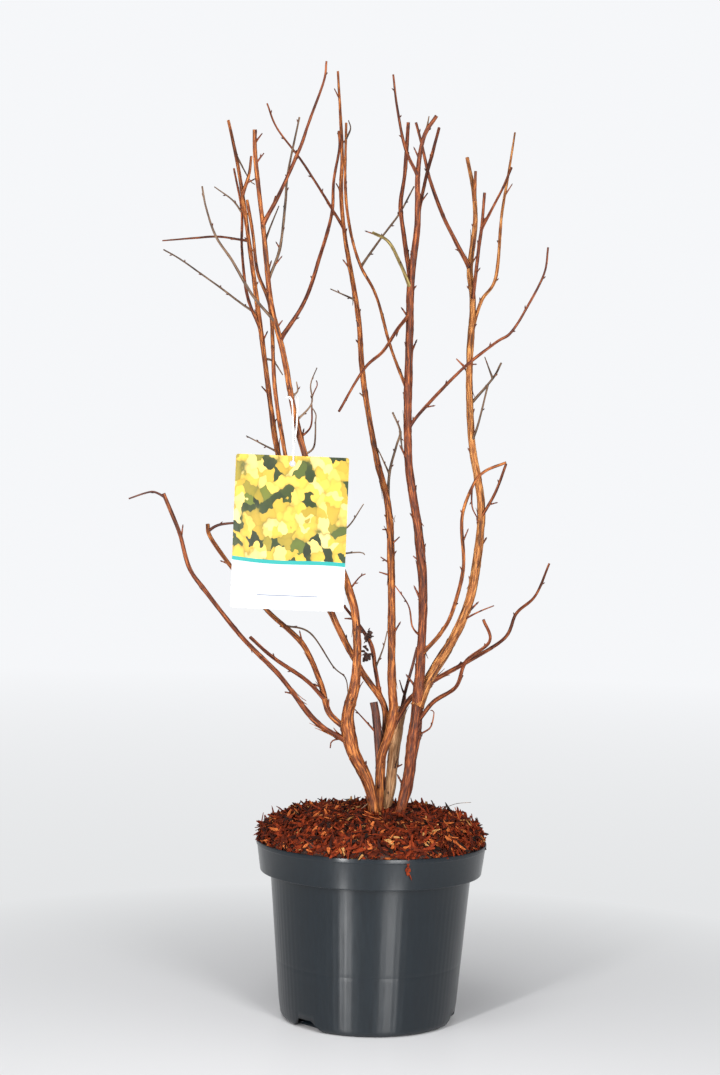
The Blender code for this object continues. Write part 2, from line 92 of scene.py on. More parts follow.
def ramp(tree, value, stops):
    """A colour for each value, blended between stops, which are (value, colour) pairs."""
    made = node(tree, "ValToRGB", Fac=value)
    elements = made.color_ramp.elements
    for element, (position, colour) in zip(elements, stops):
        element.position = position
        element.color = (*colour, 1)
    for position, colour in stops[2:]:
        elements.new(position).color = (*colour, 1)
    return made


def surface(name, stops, grain, roughness, depth, stretch=(1, 1, 1), follows=None):
    """A material whose colour, gloss and fine relief come from one noise with marks of the grain's size.

    stops are (place on the noise, colour) pairs. follows names an attribute that the marks run along.
    """
    material = bpy.data.materials.new(name)
    material.use_nodes = True
    tree = material.node_tree
    if follows:
        place = node(tree, "Attribute")
        place.attribute_name = follows
        spot = place.outputs["Vector"]
    else:
        spot = node(tree, "TexCoord").outputs["Object"]
    mapping = node(tree, "Mapping", Vector=spot, Scale=[share / grain for share in stretch])
    noise_marks = node(tree, "TexNoise", Vector=mapping.outputs["Vector"], Scale=1, Detail=6, Roughness=0.62)
    marks = noise_marks.outputs["Fac"]
    colour = ramp(tree, marks, stops)
    colour.name = "colour"
    gloss = node(tree, "MapRange", Value=marks, From_Min=0.3, From_Max=0.7,
                 To_Min=roughness[0], To_Max=roughness[1])
    bump = node(tree, "Bump", Height=marks, Strength=0.8, Distance=depth)
    sockets = tree.nodes["Principled BSDF"].inputs
    feed(tree, sockets["Base Color"], colour.outputs["Color"])
    feed(tree, sockets["Roughness"], gloss.outputs["Result"])
    feed(tree, sockets["Normal"], bump.outputs["Normal"])
    return material


def place(name, bm, material, smooth_under=50):
    """Turns the finished bmesh into an object in the scene."""
    bmesh.ops.recalc_face_normals(bm, faces=bm.faces[:])
    mesh = bpy.data.meshes.new(name)
    bm.to_mesh(mesh)
    bm.free()
    mesh.shade_smooth()
    mesh.set_sharp_from_angle(angle=math.radians(smooth_under))
    mesh.materials.append(material)
    piece = bpy.data.objects.new(name, mesh)
    bpy.context.scene.collection.objects.link(piece)
    return piece


def cut_away(piece, cutters):
    """Subtracts the cutters from the piece for good, and removes them."""
    for cutter in cutters:
        cut = piece.modifiers.new("cut", "BOOLEAN")
        cut.operation = "DIFFERENCE"
        cut.solver = "EXACT"
        cut.object = cutter
    bpy.context.view_layer.update()
    finished = bpy.data.meshes.new_from_object(piece.evaluated_get(bpy.context.evaluated_depsgraph_get()))
    piece.modifiers.clear()
    piece.data = finished
    for cutter in cutters:
        bpy.data.objects.remove(cutter, do_unlink=True)


def turned(profile, segments):
    """Spins an outline of (radius, height) points, which starts and ends on the axis, into a solid."""
    bm = bmesh.new()
    verts = [bm.verts.new((radius, 0, height)) for radius, height in profile]
    edges = [bm.edges.new(pair) for pair in zip(verts, verts[1:])]
    bmesh.ops.spin(bm, geom=verts + edges, axis=(0, 0, 1), cent=(0, 0, 0),
                   angle=math.tau, steps=segments, use_merge=True, use_duplicate=False)
    bmesh.ops.remove_doubles(bm, verts=bm.verts[:], dist=1e-6)
    return bm


def rounded(centre, radius, first, last, steps=5):
    """Points of an arc round the centre, in a turned outline, between two angles in degrees."""
    turns = [math.radians(first + (last - first) * step / steps) for step in range(steps + 1)]
    return [(centre[0] + radius * math.cos(turn), centre[1] + radius * math.sin(turn)) for turn in turns]


def body_radius(height):
    """The pot's outside radius below the collar, where it tapers evenly."""
    return FOOT_RADIUS + (BODY_RADIUS - FOOT_RADIUS) * height / COLLAR_HEIGHT


seam = [(body_radius(SEAM_HEIGHT + rise * MM) - dent * MM, SEAM_HEIGHT + rise * MM)
        for rise, dent in ((-4, 0), (-1, 0), (-0.4, 0.1), (0.4, 0.1), (1, 0), (4, 0))]
outside = [
    *rounded((FOOT_RADIUS - FOOT_ROUNDING, FOOT_ROUNDING), FOOT_ROUNDING, -90, 4),
    *[(body_radius(share * SEAM_HEIGHT), share * SEAM_HEIGHT) for share in (0.3, 0.6)],
    *seam,
    *[(body_radius(share * COLLAR_HEIGHT), share * COLLAR_HEIGHT) for share in (0.6, 0.8)],
    *rounded((BODY_RADIUS + 1 * MM, COLLAR_HEIGHT - 0.9 * MM), 1 * MM, 180, 90, 3),
    *rounded((COLLAR_RADIUS - 1.2 * MM, COLLAR_HEIGHT + 1.4 * MM), 1.2 * MM, -90, 0),
    (RIM_RADIUS - 0.9 * MM, POT_HEIGHT - 4.4 * MM),
    *rounded((RIM_RADIUS - 0.9 * MM, POT_HEIGHT - 3 * MM), 0.9 * MM, -60, 0, 2),
    *rounded((RIM_RADIUS - 0.8 * MM, POT_HEIGHT - 0.8 * MM), 0.8 * MM, 0, 180, 8),
]
inside = [
    (COLLAR_RADIUS - POT_WALL, COLLAR_HEIGHT + 2 * MM),
    (BODY_RADIUS - POT_WALL, COLLAR_HEIGHT + 1.6 * MM),
    (body_radius(FOOT_ROUNDING + POT_FLOOR) - POT_WALL, FOOT_ROUNDING + POT_FLOOR),
    (FOOT_RADIUS - FOOT_ROUNDING, POT_FLOOR),
]
shell = turned([(0, 0)] + outside + inside + [(0, POT_FLOOR)], 4 * FLUTES)
for vert in shell.verts:
    radius = vert.co.xy.length
    height = vert.co.z
    if FOOT_ROUNDING < height < COLLAR_HEIGHT - 2 * MM and radius > body_radius(height) - POT_WALL / 2:
        turn = math.atan2(vert.co.y, vert.co.x)
        fading = noise.noise(Vector((math.cos(turn), math.sin(turn), 3)) * 2)
        vert.co.xy *= 1 + FLUTE_DEPTH * math.cos(FLUTES * turn) * fading / radius
plastic = surface("slate pot plastic", ((0.35, (0.004, 0.007, 0.010)), (0.65, (0.006, 0.010, 0.014))),
                  grain=3 * MM, roughness=(0.30, 0.38), depth=0.01 * MM, stretch=(1, 1, 0.1))
sockets = plastic.node_tree.nodes["Principled BSDF"].inputs  # the flutes draw the highlights out upright
sockets["Anisotropic"].default_value = 0.92
sockets["Anisotropic Rotation"].default_value = 0.25
round_the_pot = node(plastic.node_tree, "Tangent")
round_the_pot.direction_type = "RADIAL"
round_the_pot.axis = "Z"
feed(plastic.node_tree, sockets["Tangent"], round_the_pot.outputs["Tangent"])
pot = place("nursery_pot", shell, plastic, smooth_under=40)
notches = []
for turn in NOTCH_TURNS:
    block = bmesh.new()  # its lower half is wider, so that the notch narrows towards its roof
    bmesh.ops.create_cube(block, size=1)
    bmesh.ops.scale(block, vec=(1, 2 * NOTCH_DEPTH, 2 * NOTCH_HEIGHT), verts=block.verts[:])
    for vert in block.verts:
        vert.co.x *= NOTCH_ROOF_WIDTH if vert.co.z > 0 else 2 * NOTCH_WIDTH - NOTCH_ROOF_WIDTH
    bmesh.ops.translate(block, vec=(0, -FOOT_RADIUS, 0), verts=block.verts[:])
    bmesh.ops.rotate(block, cent=(0, 0, 0), matrix=Matrix.Rotation(math.radians(turn), 3, "Z"),
                     verts=block.verts[:])
    notches.append(place("notch", block, plastic))
cut_away(pot, notches)
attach(pot, "root")
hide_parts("pot")

# The mulch
# Shredded pine bark, heaped over the potting mix and a little over the rim. The chips are flat splinters,
# most of them red-brown, that lie loose on a dark mound of finer stuff. A few hang on the collar's outside.

GROUND = 17.5 * CM
MOUND_RADIUS = 9.75 * CM
CORE_SINK = 3.5 * MM
CHIP_COUNT = 9500
CHIP_SHAPES = 12
EDGE_SHARE = 0.15  # of the chips, heaped along the rim
EDGE_LEAN = 0.5
HOLLOWS = 9 * MM
HOLLOW_DEPTH = 2.2 * MM
CRUMBS = 3 * MM
CRUMB_HEIGHT = 1.2 * MM
HANGING_CHIPS = (  # degrees from the front, height, lean in degrees, length and width
    (17.4, 149, 4, 7, 2.4),
    (17.0, 144, 28, 6, 1.8),
    (17.9, 143, -30, 5, 1.8),
    (17.2, 141, -6, 7, 2.2),
    (18.4, 138, -24, 9, 0.7),
)


def mound_height(radius):
    """The heap's height at a distance from the middle: level inside, and steep at the rim."""
    return POT_HEIGHT + (GROUND - POT_HEIGHT) * math.sqrt(max(0, 1 - (radius / MOUND_RADIUS) ** 4))


def joined(name, shapes, places, material, smooth_under=30):
    """One mesh of many small copies, where each place is a (shape number, matrix) pair."""
    corners = []
    faces = []
    for number, matrix in places:
        start = len(corners)
        corners += [matrix @ vert.co for vert in shapes[number].vertices]
        faces += [[start + index for index in face.vertices] for face in shapes[number].polygons]
    mesh = bpy.data.meshes.new(name)
    mesh.from_pydata(corners, [], faces)
    mesh.shade_smooth()
    mesh.set_sharp_from_angle(angle=math.radians(smooth_under))
    mesh.materials.append(material)
    piece = bpy.data.objects.new(name, mesh)
    bpy.context.scene.collection.objects.link(piece)
    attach(piece, "root")
    return piece


def splinter():
    """A ragged splinter, 1 long, 1 wide and 1 thick before it is scaled, narrower at its ends."""
    bm = bmesh.new()
    bmesh.ops.create_cube(bm, size=1)
    long_edges = [edge for edge in bm.edges if abs(edge.verts[0].co.x - edge.verts[1].co.x) > 0.5]
    bmesh.ops.subdivide_edges(bm, edges=long_edges, cuts=3)
    bend = random.uniform(-0.6, 0.6)
    for vert in bm.verts:
        end = abs(vert.co.x) * 2
        vert.co.y *= 1 - 0.75 * end ** 2 * random.uniform(0.5, 1)
        vert.co.z = vert.co.z * (1 - 0.5 * end ** 2) + bend * (end ** 2 - 0.3)
        vert.co += Vector([random.uniform(-rough, rough) for rough in (0.07, 0.16, 0.2)])
    bmesh.ops.recalc_face_normals(bm, faces=bm.faces[:])
    mesh = bpy.data.meshes.new("splinter")
    bm.to_mesh(mesh)
    bm.free()
    return mesh


floor_edge = FOOT_RADIUS - FOOT_ROUNDING - NOTCH_DEPTH
heap = [(MOUND_RADIUS * share, mound_height(MOUND_RADIUS * share) - CORE_SINK)
        for share in (0.97, 0.94, 0.9, 0.85, 0.78, 0.7, 0.6, 0.5, 0.4, 0.3, 0.2, 0.1, 0)]
core = turned([
    (0, POT_FLOOR + 1 * MM),
    (floor_edge, POT_FLOOR + 1 * MM),
    (floor_edge, NOTCH_HEIGHT + 1 * MM),
    (body_radius(NOTCH_HEIGHT) - POT_WALL - 1 * MM, NOTCH_HEIGHT + 1 * MM),
    (BODY_RADIUS - POT_WALL - 1 * MM, COLLAR_HEIGHT + 2.6 * MM),
    (RIM_RADIUS - POT_WALL - 3 * MM, COLLAR_HEIGHT + 4 * MM),
    (RIM_RADIUS - POT_WALL - 2 * MM, POT_HEIGHT - 2 * MM),
] + heap, 120)
for vert in core.verts:
    if vert.co.z > POT_HEIGHT - 3 * MM:
        vert.co.z += (HOLLOW_DEPTH * noise.noise(vert.co / HOLLOWS)
                      + CRUMB_HEIGHT * noise.noise(vert.co / CRUMBS))
dark_mix = surface("dark potting mix", ((0.35, (0.010, 0.004, 0.003)), (0.65, (0.060, 0.020, 0.010))),
                   2 * MM, roughness=(0.8, 0.95), depth=1 * MM)
mound = place("mulch_mound", core, dark_mix, smooth_under=180)
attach(mound, "root")
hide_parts("mulch")

CHIP_COLOURS = {  # share of the chips, darker and lighter colour of each kind
    "red_brown": (0.42, (0.065, 0.007, 0.002), (0.22, 0.030, 0.006)),
    "brown": (0.24, (0.036, 0.005, 0.002), (0.11, 0.016, 0.004)),
    "dark": (0.18, (0.012, 0.003, 0.002), (0.040, 0.007, 0.003)),
    "orange": (0.08, (0.24, 0.048, 0.010), (0.50, 0.140, 0.036)),
    "straw": (0.025, (0.25, 0.110, 0.030), (0.50, 0.260, 0.090)),
    "black": (0.055, (0.006, 0.004, 0.004), (0.022, 0.011, 0.008)),
}
splinters = [splinter() for _ in range(CHIP_SHAPES)]
for kind, (share, darker, lighter) in CHIP_COLOURS.items():
    places = []
    for _ in range(round(CHIP_COUNT * share)):
        at_rim = random.random() < EDGE_SHARE
        if at_rim:
            radius = RIM_RADIUS * random.uniform(0.92, 0.985)
        else:
            radius = MOUND_RADIUS * 0.985 * math.sqrt(random.random())
        turn = random.uniform(0, math.tau)
        length = random.choice((4, 5, 6) if at_rim else (4, 5, 6, 8, 10, 13, 19)) * MM
        length *= random.uniform(0.8, 1.2)
        width = min(length * 0.45, random.uniform(0.9, 3.6) * MM)
        thickness = random.uniform(0.6, 1.7) * MM
        slope = (mound_height(radius) - mound_height(radius + 1 * MM)) / MM
        lean = math.atan(min(slope, 1.6))
        height = mound_height(radius) + random.uniform(-3.6, 2.2) * MM
        spin = random.uniform(0, math.pi)
        if at_rim:
            height = min(POT_HEIGHT + random.uniform(-0.3, 6) * MM, mound_height(radius) + 2.5 * MM)
            lean = EDGE_LEAN
            spin = math.pi / 2 + random.gauss(0, 0.5)
        tilt = random.gauss(0, math.radians(21))
        if random.random() < 0.09:
            tilt = random.uniform(-0.9, 0.9)
        places.append((
            random.randrange(CHIP_SHAPES),
            Matrix.Translation((radius * math.cos(turn), radius * math.sin(turn), height))
            @ Matrix.Rotation(turn, 4, "Z") @ Matrix.Rotation(lean, 4, "Y")
            @ Matrix.Rotation(spin, 4, "Z")
            @ Matrix.Rotation(tilt, 4, "Y")
            @ Matrix.Diagonal((length, width, thickness, 1)),
        ))
    chips = surface(kind + " bark chips", ((0.36, darker), (0.64, lighter)), grain=2.5 * MM,
                    roughness=(0.6, 0.85), depth=0.3 * MM)
    chips.node_tree.nodes["Principled BSDF"].inputs["Specular IOR Level"].default_value = 0.12
    joined("chips_" + kind, splinters, places, chips)

hanging = []
for turn, height, lean, length, width in HANGING_CHIPS:
    hanging.append((
        0,
        Matrix.Rotation(math.radians(turn), 4, "Z")
        @ Matrix.Translation((0, 0.9 * MM - RIM_RADIUS - (0.4 * MM if lean > 0 else 0), height * MM))
        @ Matrix.Rotation(math.radians(90 + lean), 4, "Y") @ Matrix.Rotation(math.pi / 2, 4, "X")
        @ Matrix.Diagonal((length * MM, width * MM, 1 * MM, 1)),
    ))
joined("rim_chips", splinters, hanging, bpy.data.materials["red_brown bark chips"])

# The stems and boughs
# Slim woody stems that fork again and again, pruned off square at the top. The thin, orange-brown bark is
# fibrous, with dark streaks and leaf scars, and each bough swells a little where it leaves its stem.

BARK_GRAIN = 1 * MM
RING_STEP = 2.3 * MM
STEM_SIDES = 16
BOUGH_SIDES = 12
TWIG_SIDES = 8
THICKEST_TWIG = 2.9  # these two are widths at the foot, in millimetres
STOUTEST_BOUGH = 8
FLAKE_SHAPES = 4
GRAIN_STRETCH = (1, 1, 0.09)
LOBES = 0.14  # how far bark and wood stand out, as shares of the limb's radius
RIDGES = 0.13
FIBRES = 0.07
SCAR_RISE = 0.16
FOOT_SWELLING = 0.4
grown = {}  # by name: the centre line as (point, diameter) pairs
buds = []
spurs = []
flakes = []


def curved(before, start, end, after, steps):
    """Points from start up to end, on a smooth curve that passes through all four marks."""
    points = []
    for step in range(steps):
        t = step / steps
        points.append(0.5 * (2 * start + (end - before) * t
                             + (2 * before - 5 * start + 4 * end - after) * t ** 2
                             + (3 * start - before - 3 * end + after) * t ** 3))
    return points


def smooth_course(marks):
    """Points along a smooth curve through the marks, about a ring's step apart."""
    ends = [marks[0] * 2 - marks[1]] + marks + [marks[-1] * 2 - marks[-2]]
    points = []
    for before, start, end, after in zip(ends, ends[1:], ends[2:], ends[3:]):
        points += curved(before, start, end, after, max(1, round((end - start).length / RING_STEP)))
    return points + [marks[-1]]


def with_diameters(points, diameters):
    """Pairs each point with its diameter, read from values spread evenly along the course."""
    lengths = [0.0]
    for start, end in zip(points, points[1:]):
        lengths.append(lengths[-1] + (end - start).length)
    pairs = []
    for point, length in zip(points, lengths):
        along = length / lengths[-1] * (len(diameters) - 1)
        index = min(int(along), len(diameters) - 2)
        share = along - index
        pairs.append((point, (diameters[index] * (1 - share) + diameters[index + 1] * share) * MM))
    return pairs


def point_on(name, height):
    """Where a limb's centre line passes a height, counted in centimetres."""
    points = [point for point, _ in grown[name]]
    for start, end in zip(points, points[1:]):
        low, high = sorted((start.z, end.z))
        if low <= height * CM <= high:
            return start.lerp(end, (height * CM - start.z) / max(end.z - start.z, 1e-9))
    return min(points, key=lambda point: abs(point.z - height * CM)).copy()


def tube(bm, course, sides):
    """Extrudes a ring along the course, and gives back each ring with its place, size and way along."""
    points = [point for point, _ in course]
    radii = [diameter / 2 for _, diameter in course]
    ahead = [(end - start).normalized() for start, end in zip(points, points[1:])]
    facing = [(first + second).normalized() for first, second in zip(ahead[:1] + ahead, ahead + ahead[-1:])]
    ring = bmesh.ops.create_circle(bm, cap_ends=True, segments=sides, radius=radii[0])["verts"]
    end_face = ring[0].link_faces[0]
    lie = Vector((0, 0, 1)).rotation_difference(facing[0]).to_matrix()
    bmesh.ops.rotate(bm, cent=(0, 0, 0), matrix=lie, verts=ring)
    bmesh.ops.translate(bm, vec=points[0], verts=ring)
    zero = lie @ Vector((1, 0, 0))
    rings = [(points[0], zero, facing[0], radii[0], 0.0, ring)]
    for step in range(1, len(points)):
        raised = bmesh.ops.extrude_face_region(bm, geom=[end_face])["geom"]
        if step > 1:
            bmesh.ops.delete(bm, geom=[end_face], context="FACES_ONLY")
        end_face = next(item for item in raised if isinstance(item, bmesh.types.BMFace))
        ring = end_face.verts[:]
        turn = facing[step - 1].rotation_difference(facing[step]).to_matrix()
        growth = radii[step] / radii[step - 1]
        bmesh.ops.translate(bm, vec=points[step] - points[step - 1], verts=ring)
        bmesh.ops.rotate(bm, cent=points[step], matrix=turn, verts=ring)
        bmesh.ops.scale(bm, vec=(growth,) * 3, space=Matrix.Translation(-points[step]), verts=ring)
        zero = turn @ zero
        length = rings[-1][4] + (points[step] - points[step - 1]).length
        rings.append((points[step], zero, facing[step], radii[step], length, ring))
    return rings


def bark_mesh():
    """An empty mesh whose points can hold their place along the grain and how near a leaf scar they are."""
    bm = bmesh.new()
    bm.verts.layers.float_vector.new("grain")
    bm.verts.layers.float.new("scar")
    return bm


def around(zero, along, angle):
    """The direction out of a ring at an angle."""
    return zero * math.cos(angle) + along.cross(zero) * math.sin(angle)


def wear(bm, rings, leaf_scars, branching):
    """Gives a tube the bark's ridges, its leaf scars and the swelling at its foot."""
    grain = bm.verts.layers.float_vector["grain"]
    scar = bm.verts.layers.float["scar"]
    shift = random.uniform(0, 50)
    for centre, zero, along, radius, length, ring in rings:
        side = along.cross(zero)
        swelling = FOOT_SWELLING * math.exp(-length / (4 * MM)) if branching else 0
        close = [(at, turn) for at, turn in leaf_scars if abs(length - at) < 6 * MM]
        for vert in ring:
            arm = vert.co - centre
            angle = math.atan2(arm.dot(side), arm.dot(zero))
            spot = Vector((math.cos(angle), math.sin(angle), 0))
            lobes = noise.noise(spot * 0.9 + Vector((0, 0, length / (30 * MM) + shift)))
            ridges = noise.noise(spot * 3.2 + Vector((0, 0, length / (14 * MM) - shift)))
            rough = noise.noise(spot * 5 + Vector((0, 0, length / (3.5 * MM) + 2 * shift)))
            near = max([math.exp(-((length - at) / (1.3 * MM)) ** 2)
                        * (0.55 + 0.45 * math.cos(angle - turn)) for at, turn in close] + [0])
            vert.co = centre + arm * (1 + LOBES * lobes + RIDGES * ridges + FIBRES * rough
                                      + SCAR_RISE * near + swelling)
            vert[grain] = spot * radius + Vector((0, 0, length + shift))
            vert[scar] = near


def value_of(tree, operation, first, second=0):
    """A math node's result, for sockets or plain numbers."""
    made = node(tree, "Math")
    made.operation = operation
    feed(tree, made.inputs[0], first)
    feed(tree, made.inputs[1], second)
    return made.outputs["Value"]


def over(tree, lower, upper, mask):
    """One colour laid over another where the mask is 1. Each colour is a socket or three numbers."""
    made = node(tree, "Mix")
    made.data_type = "RGBA"
    feed(tree, made.inputs["Factor"], mask)
    for socket, colour in ((made.inputs["A"], lower), (made.inputs["B"], upper)):
        feed(tree, socket, (*colour, 1) if isinstance(colour, tuple) else colour)
    return made.outputs["Result"]


def bark(name, dark, middle, light, follows="grain"):
    """Fibrous bark in three tones, with near-black streaks along the grain and dark leaf scars."""
    material = surface(name, ((0.36, dark), (0.66, light), (0.5, middle)), BARK_GRAIN, (0.5, 0.75), 0.5 * MM,
                       stretch=GRAIN_STRETCH, follows=follows)
    tree = material.node_tree
    scar = node(tree, "Attribute")
    scar.attribute_name = "scar"
    coarse = node(tree, "TexNoise", Vector=tree.nodes["Mapping"].outputs["Vector"], Scale=0.42, Detail=4,
                  Distortion=0.6)
    streak = node(tree, "MapRange", Value=coarse.outputs["Fac"], From_Min=0.5, From_Max=0.64, To_Max=0.78)
    mask = value_of(tree, "MAXIMUM", streak.outputs["Result"],
                    value_of(tree, "MULTIPLY", scar.outputs["Fac"], 0.6))
    near_black = (dark[0] * 0.45, dark[1] * 0.45, dark[2] * 0.5)
    sockets = tree.nodes["Principled BSDF"].inputs
    feed(tree, sockets["Base Color"], over(tree, tree.nodes["colour"].outputs["Color"], near_black, mask))
    sockets["Specular IOR Level"].default_value = 0.3
    return material


BARK_TONES = {
    "orange": ((0.035, 0.007, 0.002), (0.21, 0.050, 0.009), (0.58, 0.210, 0.050)),
    "red": ((0.028, 0.005, 0.002), (0.13, 0.026, 0.006), (0.38, 0.110, 0.030)),
    "pale": ((0.07, 0.018, 0.005), (0.32, 0.105, 0.024), (0.66, 0.310, 0.095)),
    "stripped": ((0.24, 0.100, 0.040), (0.50, 0.250, 0.110), (0.70, 0.430, 0.230)),
    "dark": ((0.025, 0.010, 0.008), (0.090, 0.026, 0.015), (0.22, 0.075, 0.036)),
    "grey": ((0.045, 0.030, 0.022), (0.13, 0.075, 0.045), (0.26, 0.160, 0.095)),
    "olive": ((0.06, 0.040, 0.014), (0.19, 0.130, 0.040), (0.38, 0.290, 0.100)),
}
BARKS = {wood: bark(wood + " bark", *tones) for wood, tones in BARK_TONES.items()}


def leaf_scars_along(rings, spacing):
    """Places of the raised rings, as (way along, angle) pairs, by turns on opposite sides."""
    places = []
    angle = random.uniform(0, math.tau)
    length = random.uniform(0.4, 1) * spacing
    while length < rings[-1][4] - 2 * MM:
        places.append((length, angle))
        length += spacing * random.uniform(0.6, 1.4)
        angle += math.pi * random.uniform(0.8, 1.2)
    return places


def grow_trimmings(rings, leaf_scars):
    """Puts a bud or a short spur at each raised ring, and loose flakes of bark on the thicker wood."""
    for length, angle in leaf_scars:
        centre, zero, along, radius, _, _ = min(rings, key=lambda ring: abs(ring[4] - length))
        out = around(zero, along, angle)
        axis = (along * 0.9 + out * random.uniform(0.4, 0.9)).normalized()
        upright = Vector((0, 0, 1)).rotation_difference(axis).to_matrix().to_4x4()
        foot = Matrix.Translation(centre + out * radius * 0.85) @ upright
        size = (1.1 + 0.25 * radius / MM) * MM
        if random.random() < 0.24 and radius > 1.2 * MM:
            long = random.uniform(3, 9) * MM
            spurs.append((0, foot @ Matrix.Diagonal((size * 0.9, size * 0.9, long, 1))))
            foot = foot @ Matrix.Translation((0, 0, long))
        buds.append((0, foot @ Matrix.Diagonal((size, size, size * random.uniform(1.9, 2.8), 1))))
    for centre, zero, along, radius, _, _ in rings[3::4]:
        chance = 0.16 if centre.z > 45 * CM else 0.42
        if radius > 1.9 * MM and random.random() < chance:
            out = around(zero, along, random.uniform(0, math.tau))
            turned_to = Matrix((out, along.cross(out), along)).transposed().to_4x4()
            flip = Matrix.Rotation(math.pi if random.random() < 0.4 else 0, 4, "X")
            foot = Matrix.Translation(centre + out * radius * 0.98) @ turned_to @ flip
            flakes.append((random.randrange(FLAKE_SHAPES), foot @ Matrix.Diagonal((
                random.uniform(1, 3.2) * MM, random.uniform(0.8, 2) * MM, random.uniform(6, 20) * MM, 1))))


def limb(name, diameters, *marks, on=None, sides=None, wood="orange"):
    """One stem, bough or long twig through its marks, in centimetres, with diameters in millimetres.

    on is the limb that bears it, with the height where it leaves. Stems have more sides than twigs.
    """
    if not sides:
        if not on or diameters[0] > STOUTEST_BOUGH:
            sides = STEM_SIDES
        else:
            sides = TWIG_SIDES if diameters[0] < THICKEST_TWIG else BOUGH_SIDES
    route = [Vector(mark) * CM for mark in marks]
    if on:
        route.insert(0, point_on(*on))
    else:
        route[0].z = GROUND - 7 * MM
    grown[name] = with_diameters(smooth_course(route), diameters)
    bm = bark_mesh()
    rings = tube(bm, grown[name], sides)
    leaf_scars = leaf_scars_along(rings, (34 if diameters[0] > 3 else 22) * MM)
    wear(bm, rings, leaf_scars, branching=bool(on))
    grow_trimmings(rings, leaf_scars)
    piece = place(name + "_wood", bm, BARKS[wood], smooth_under=60)
    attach(piece, "root")
    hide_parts(name)


limb("left_stem", (8, 12, 7, 6.5, 5.5, 5, 4.5, 4, 3.4),
     (0.3, -1.9, 17.5), (-0.3, -2, 20), (-1.8, -2.3, 23), (-2.3, -2.5, 25.8), (-1.7, -2.7, 29.2),
     (-1.9, -3, 34.8), (-4.1, -3.2, 40.8), (-7, -3.2, 49.7), (-8.5, -3.4, 56.5), (-9.6, -3.7, 60.5),
     (-10.3, -4.3, 66.1), (-11.1, -5.4, 72.2), (-11.2, -5.9, 74.6))
limb("left_rear_stem", (5, 5.5, 5.3, 5, 4.6, 4.4, 4.2, 3.6, 2.6),
     (0.8, 1.3, 17.5), (0.8, 0.4, 23), (0.8, -0.1, 26.6), (-1.4, -0.8, 29.9), (-4, -1.2, 34.8),
     (-6.9, -1, 42.6), (-8.8, -0.4, 47.9), (-9.8, 0.4, 53.4), (-10.6, 1.3, 58.3), (-11.6, 2.6, 64.2),
     (-12.6, 3.9, 70.1), (-13.3, 4.8, 73.8), (-14.3, 5.8, 77.9))
limb("left_middle_stem", (3.8, 3.4, 2.6), (-8.2, -1.7, 48.1), (-9.2, -2, 53.8), (-9.7, -2.2, 60.1),
     (-10.9, -2, 63.4), (-11.4, -1.6, 66.6), (-12, -1.1, 69.6), on=("left_rear_stem", 42.4))
limb("left_rear_fork", (3, 2.4), (-12.2, 3.6, 72.7), (-12, 3, 74.2), on=("left_rear_stem", 71))
limb("left_outer_shoot", (3, 2.4, 1.8), (-12, 2.6, 61.9), (-12.7, 4.3, 66.2), (-12.9, 5.6, 69.9),
     (-13.8, 7.2, 73.9), on=("left_rear_stem", 58.8), wood="red")
limb("left_level_twig", (2.2, 1.9, 1.3), (-14.8, 4.4, 67.3), (-16.9, 5.4, 67.3), (-20, 6.8, 67.2),
     on=("left_rear_stem", 66.8), wood="red")
limb("left_far_twig", (2.2, 1.8, 1.3), (-12.8, 3.6, 61.5), (-14.6, 5, 62.9), (-18.3, 7.6, 65.6),
     (-20.1, 8.8, 66.7), on=("left_rear_stem", 60.1), wood="grey")
limb("left_rising_twig", (2.6, 2.2, 1.5), (-11.1, -4.8, 61), (-12.8, -6, 63.7), (-14.1, -6.9, 65.5),
     (-14.9, -7.8, 67.7), (-15.2, -8.5, 69.3), on=("left_stem", 59), wood="grey")
limb("left_top_bough", (3.6, 3, 2.4, 1.6), (-9.1, -5.4, 69.3), (-7.4, -7.2, 72.8), (-6.7, -8.1, 74.7),
     (-5.5, -9.6, 77.8), (-5.3, -10.2, 79.3), on=("left_stem", 67), wood="red")
limb("left_inner_twig", (2.6, 2.2, 1.6), (-9, -2.8, 65.4), (-8.7, -1.4, 69.6), (-8.6, -0.6, 72.1),
     (-7.8, 1.2, 77.3), on=("left_stem", 62.4), wood="grey")
limb("inward_bough", (3.8, 3.2, 2.8, 2.2), (-6.8, -2.4, 61), (-5.7, -0.8, 64.9), (-4.8, 0.8, 68.8),
     (-4.7, 2.2, 72.1), (-4.3, 3.4, 75.2), (-4.4, 4, 76.8), on=("left_stem", 57.5), wood="red")
limb("long_left_bough", (5, 4.2, 3.8, 3.6, 3), (-5, -3.2, 25.5), (-8.1, -4.6, 29.4), (-11.2, -6.2, 32.6),
     (-14.2, -7.8, 36.4), (-15.5, -8.4, 38.3), (-16.3, -9, 41.1), (-17.6, -9.6, 44.2),
     on=("left_stem", 23.6), wood="red")
limb("left_tip_twig", (1.8, 1.3), (-18.3, -9.8, 44.3), (-19, -10, 44.2), (-20.3, -10.3, 43.7),
     on=("long_left_bough", 43.9), wood="dark")
limb("left_low_bough", (5.2, 4.6, 4, 3.6), (-3.9, -1.6, 26.1), (-4.7, -0.4, 28.5), (-6.4, 1.4, 31.7),
     (-9.7, 3.6, 34.5), (-13.1, 6, 38.2), (-15.1, 7.4, 40.8), (-15.4, 7.8, 41.9), on=("left_stem", 24.7))
limb("left_cross_bough", (3.6, 3), (-6, -2, 28.9), (-8.7, -3.6, 30.8), (-10.6, -4.6, 32.5),
     on=("left_low_bough", 27.2), wood="red")
limb("left_end_twig", (2.4, 2.2), (-14.2, 7.4, 41.9), (-11.5, 7, 42.2),
     on=("left_low_bough", 41.3), wood="dark")

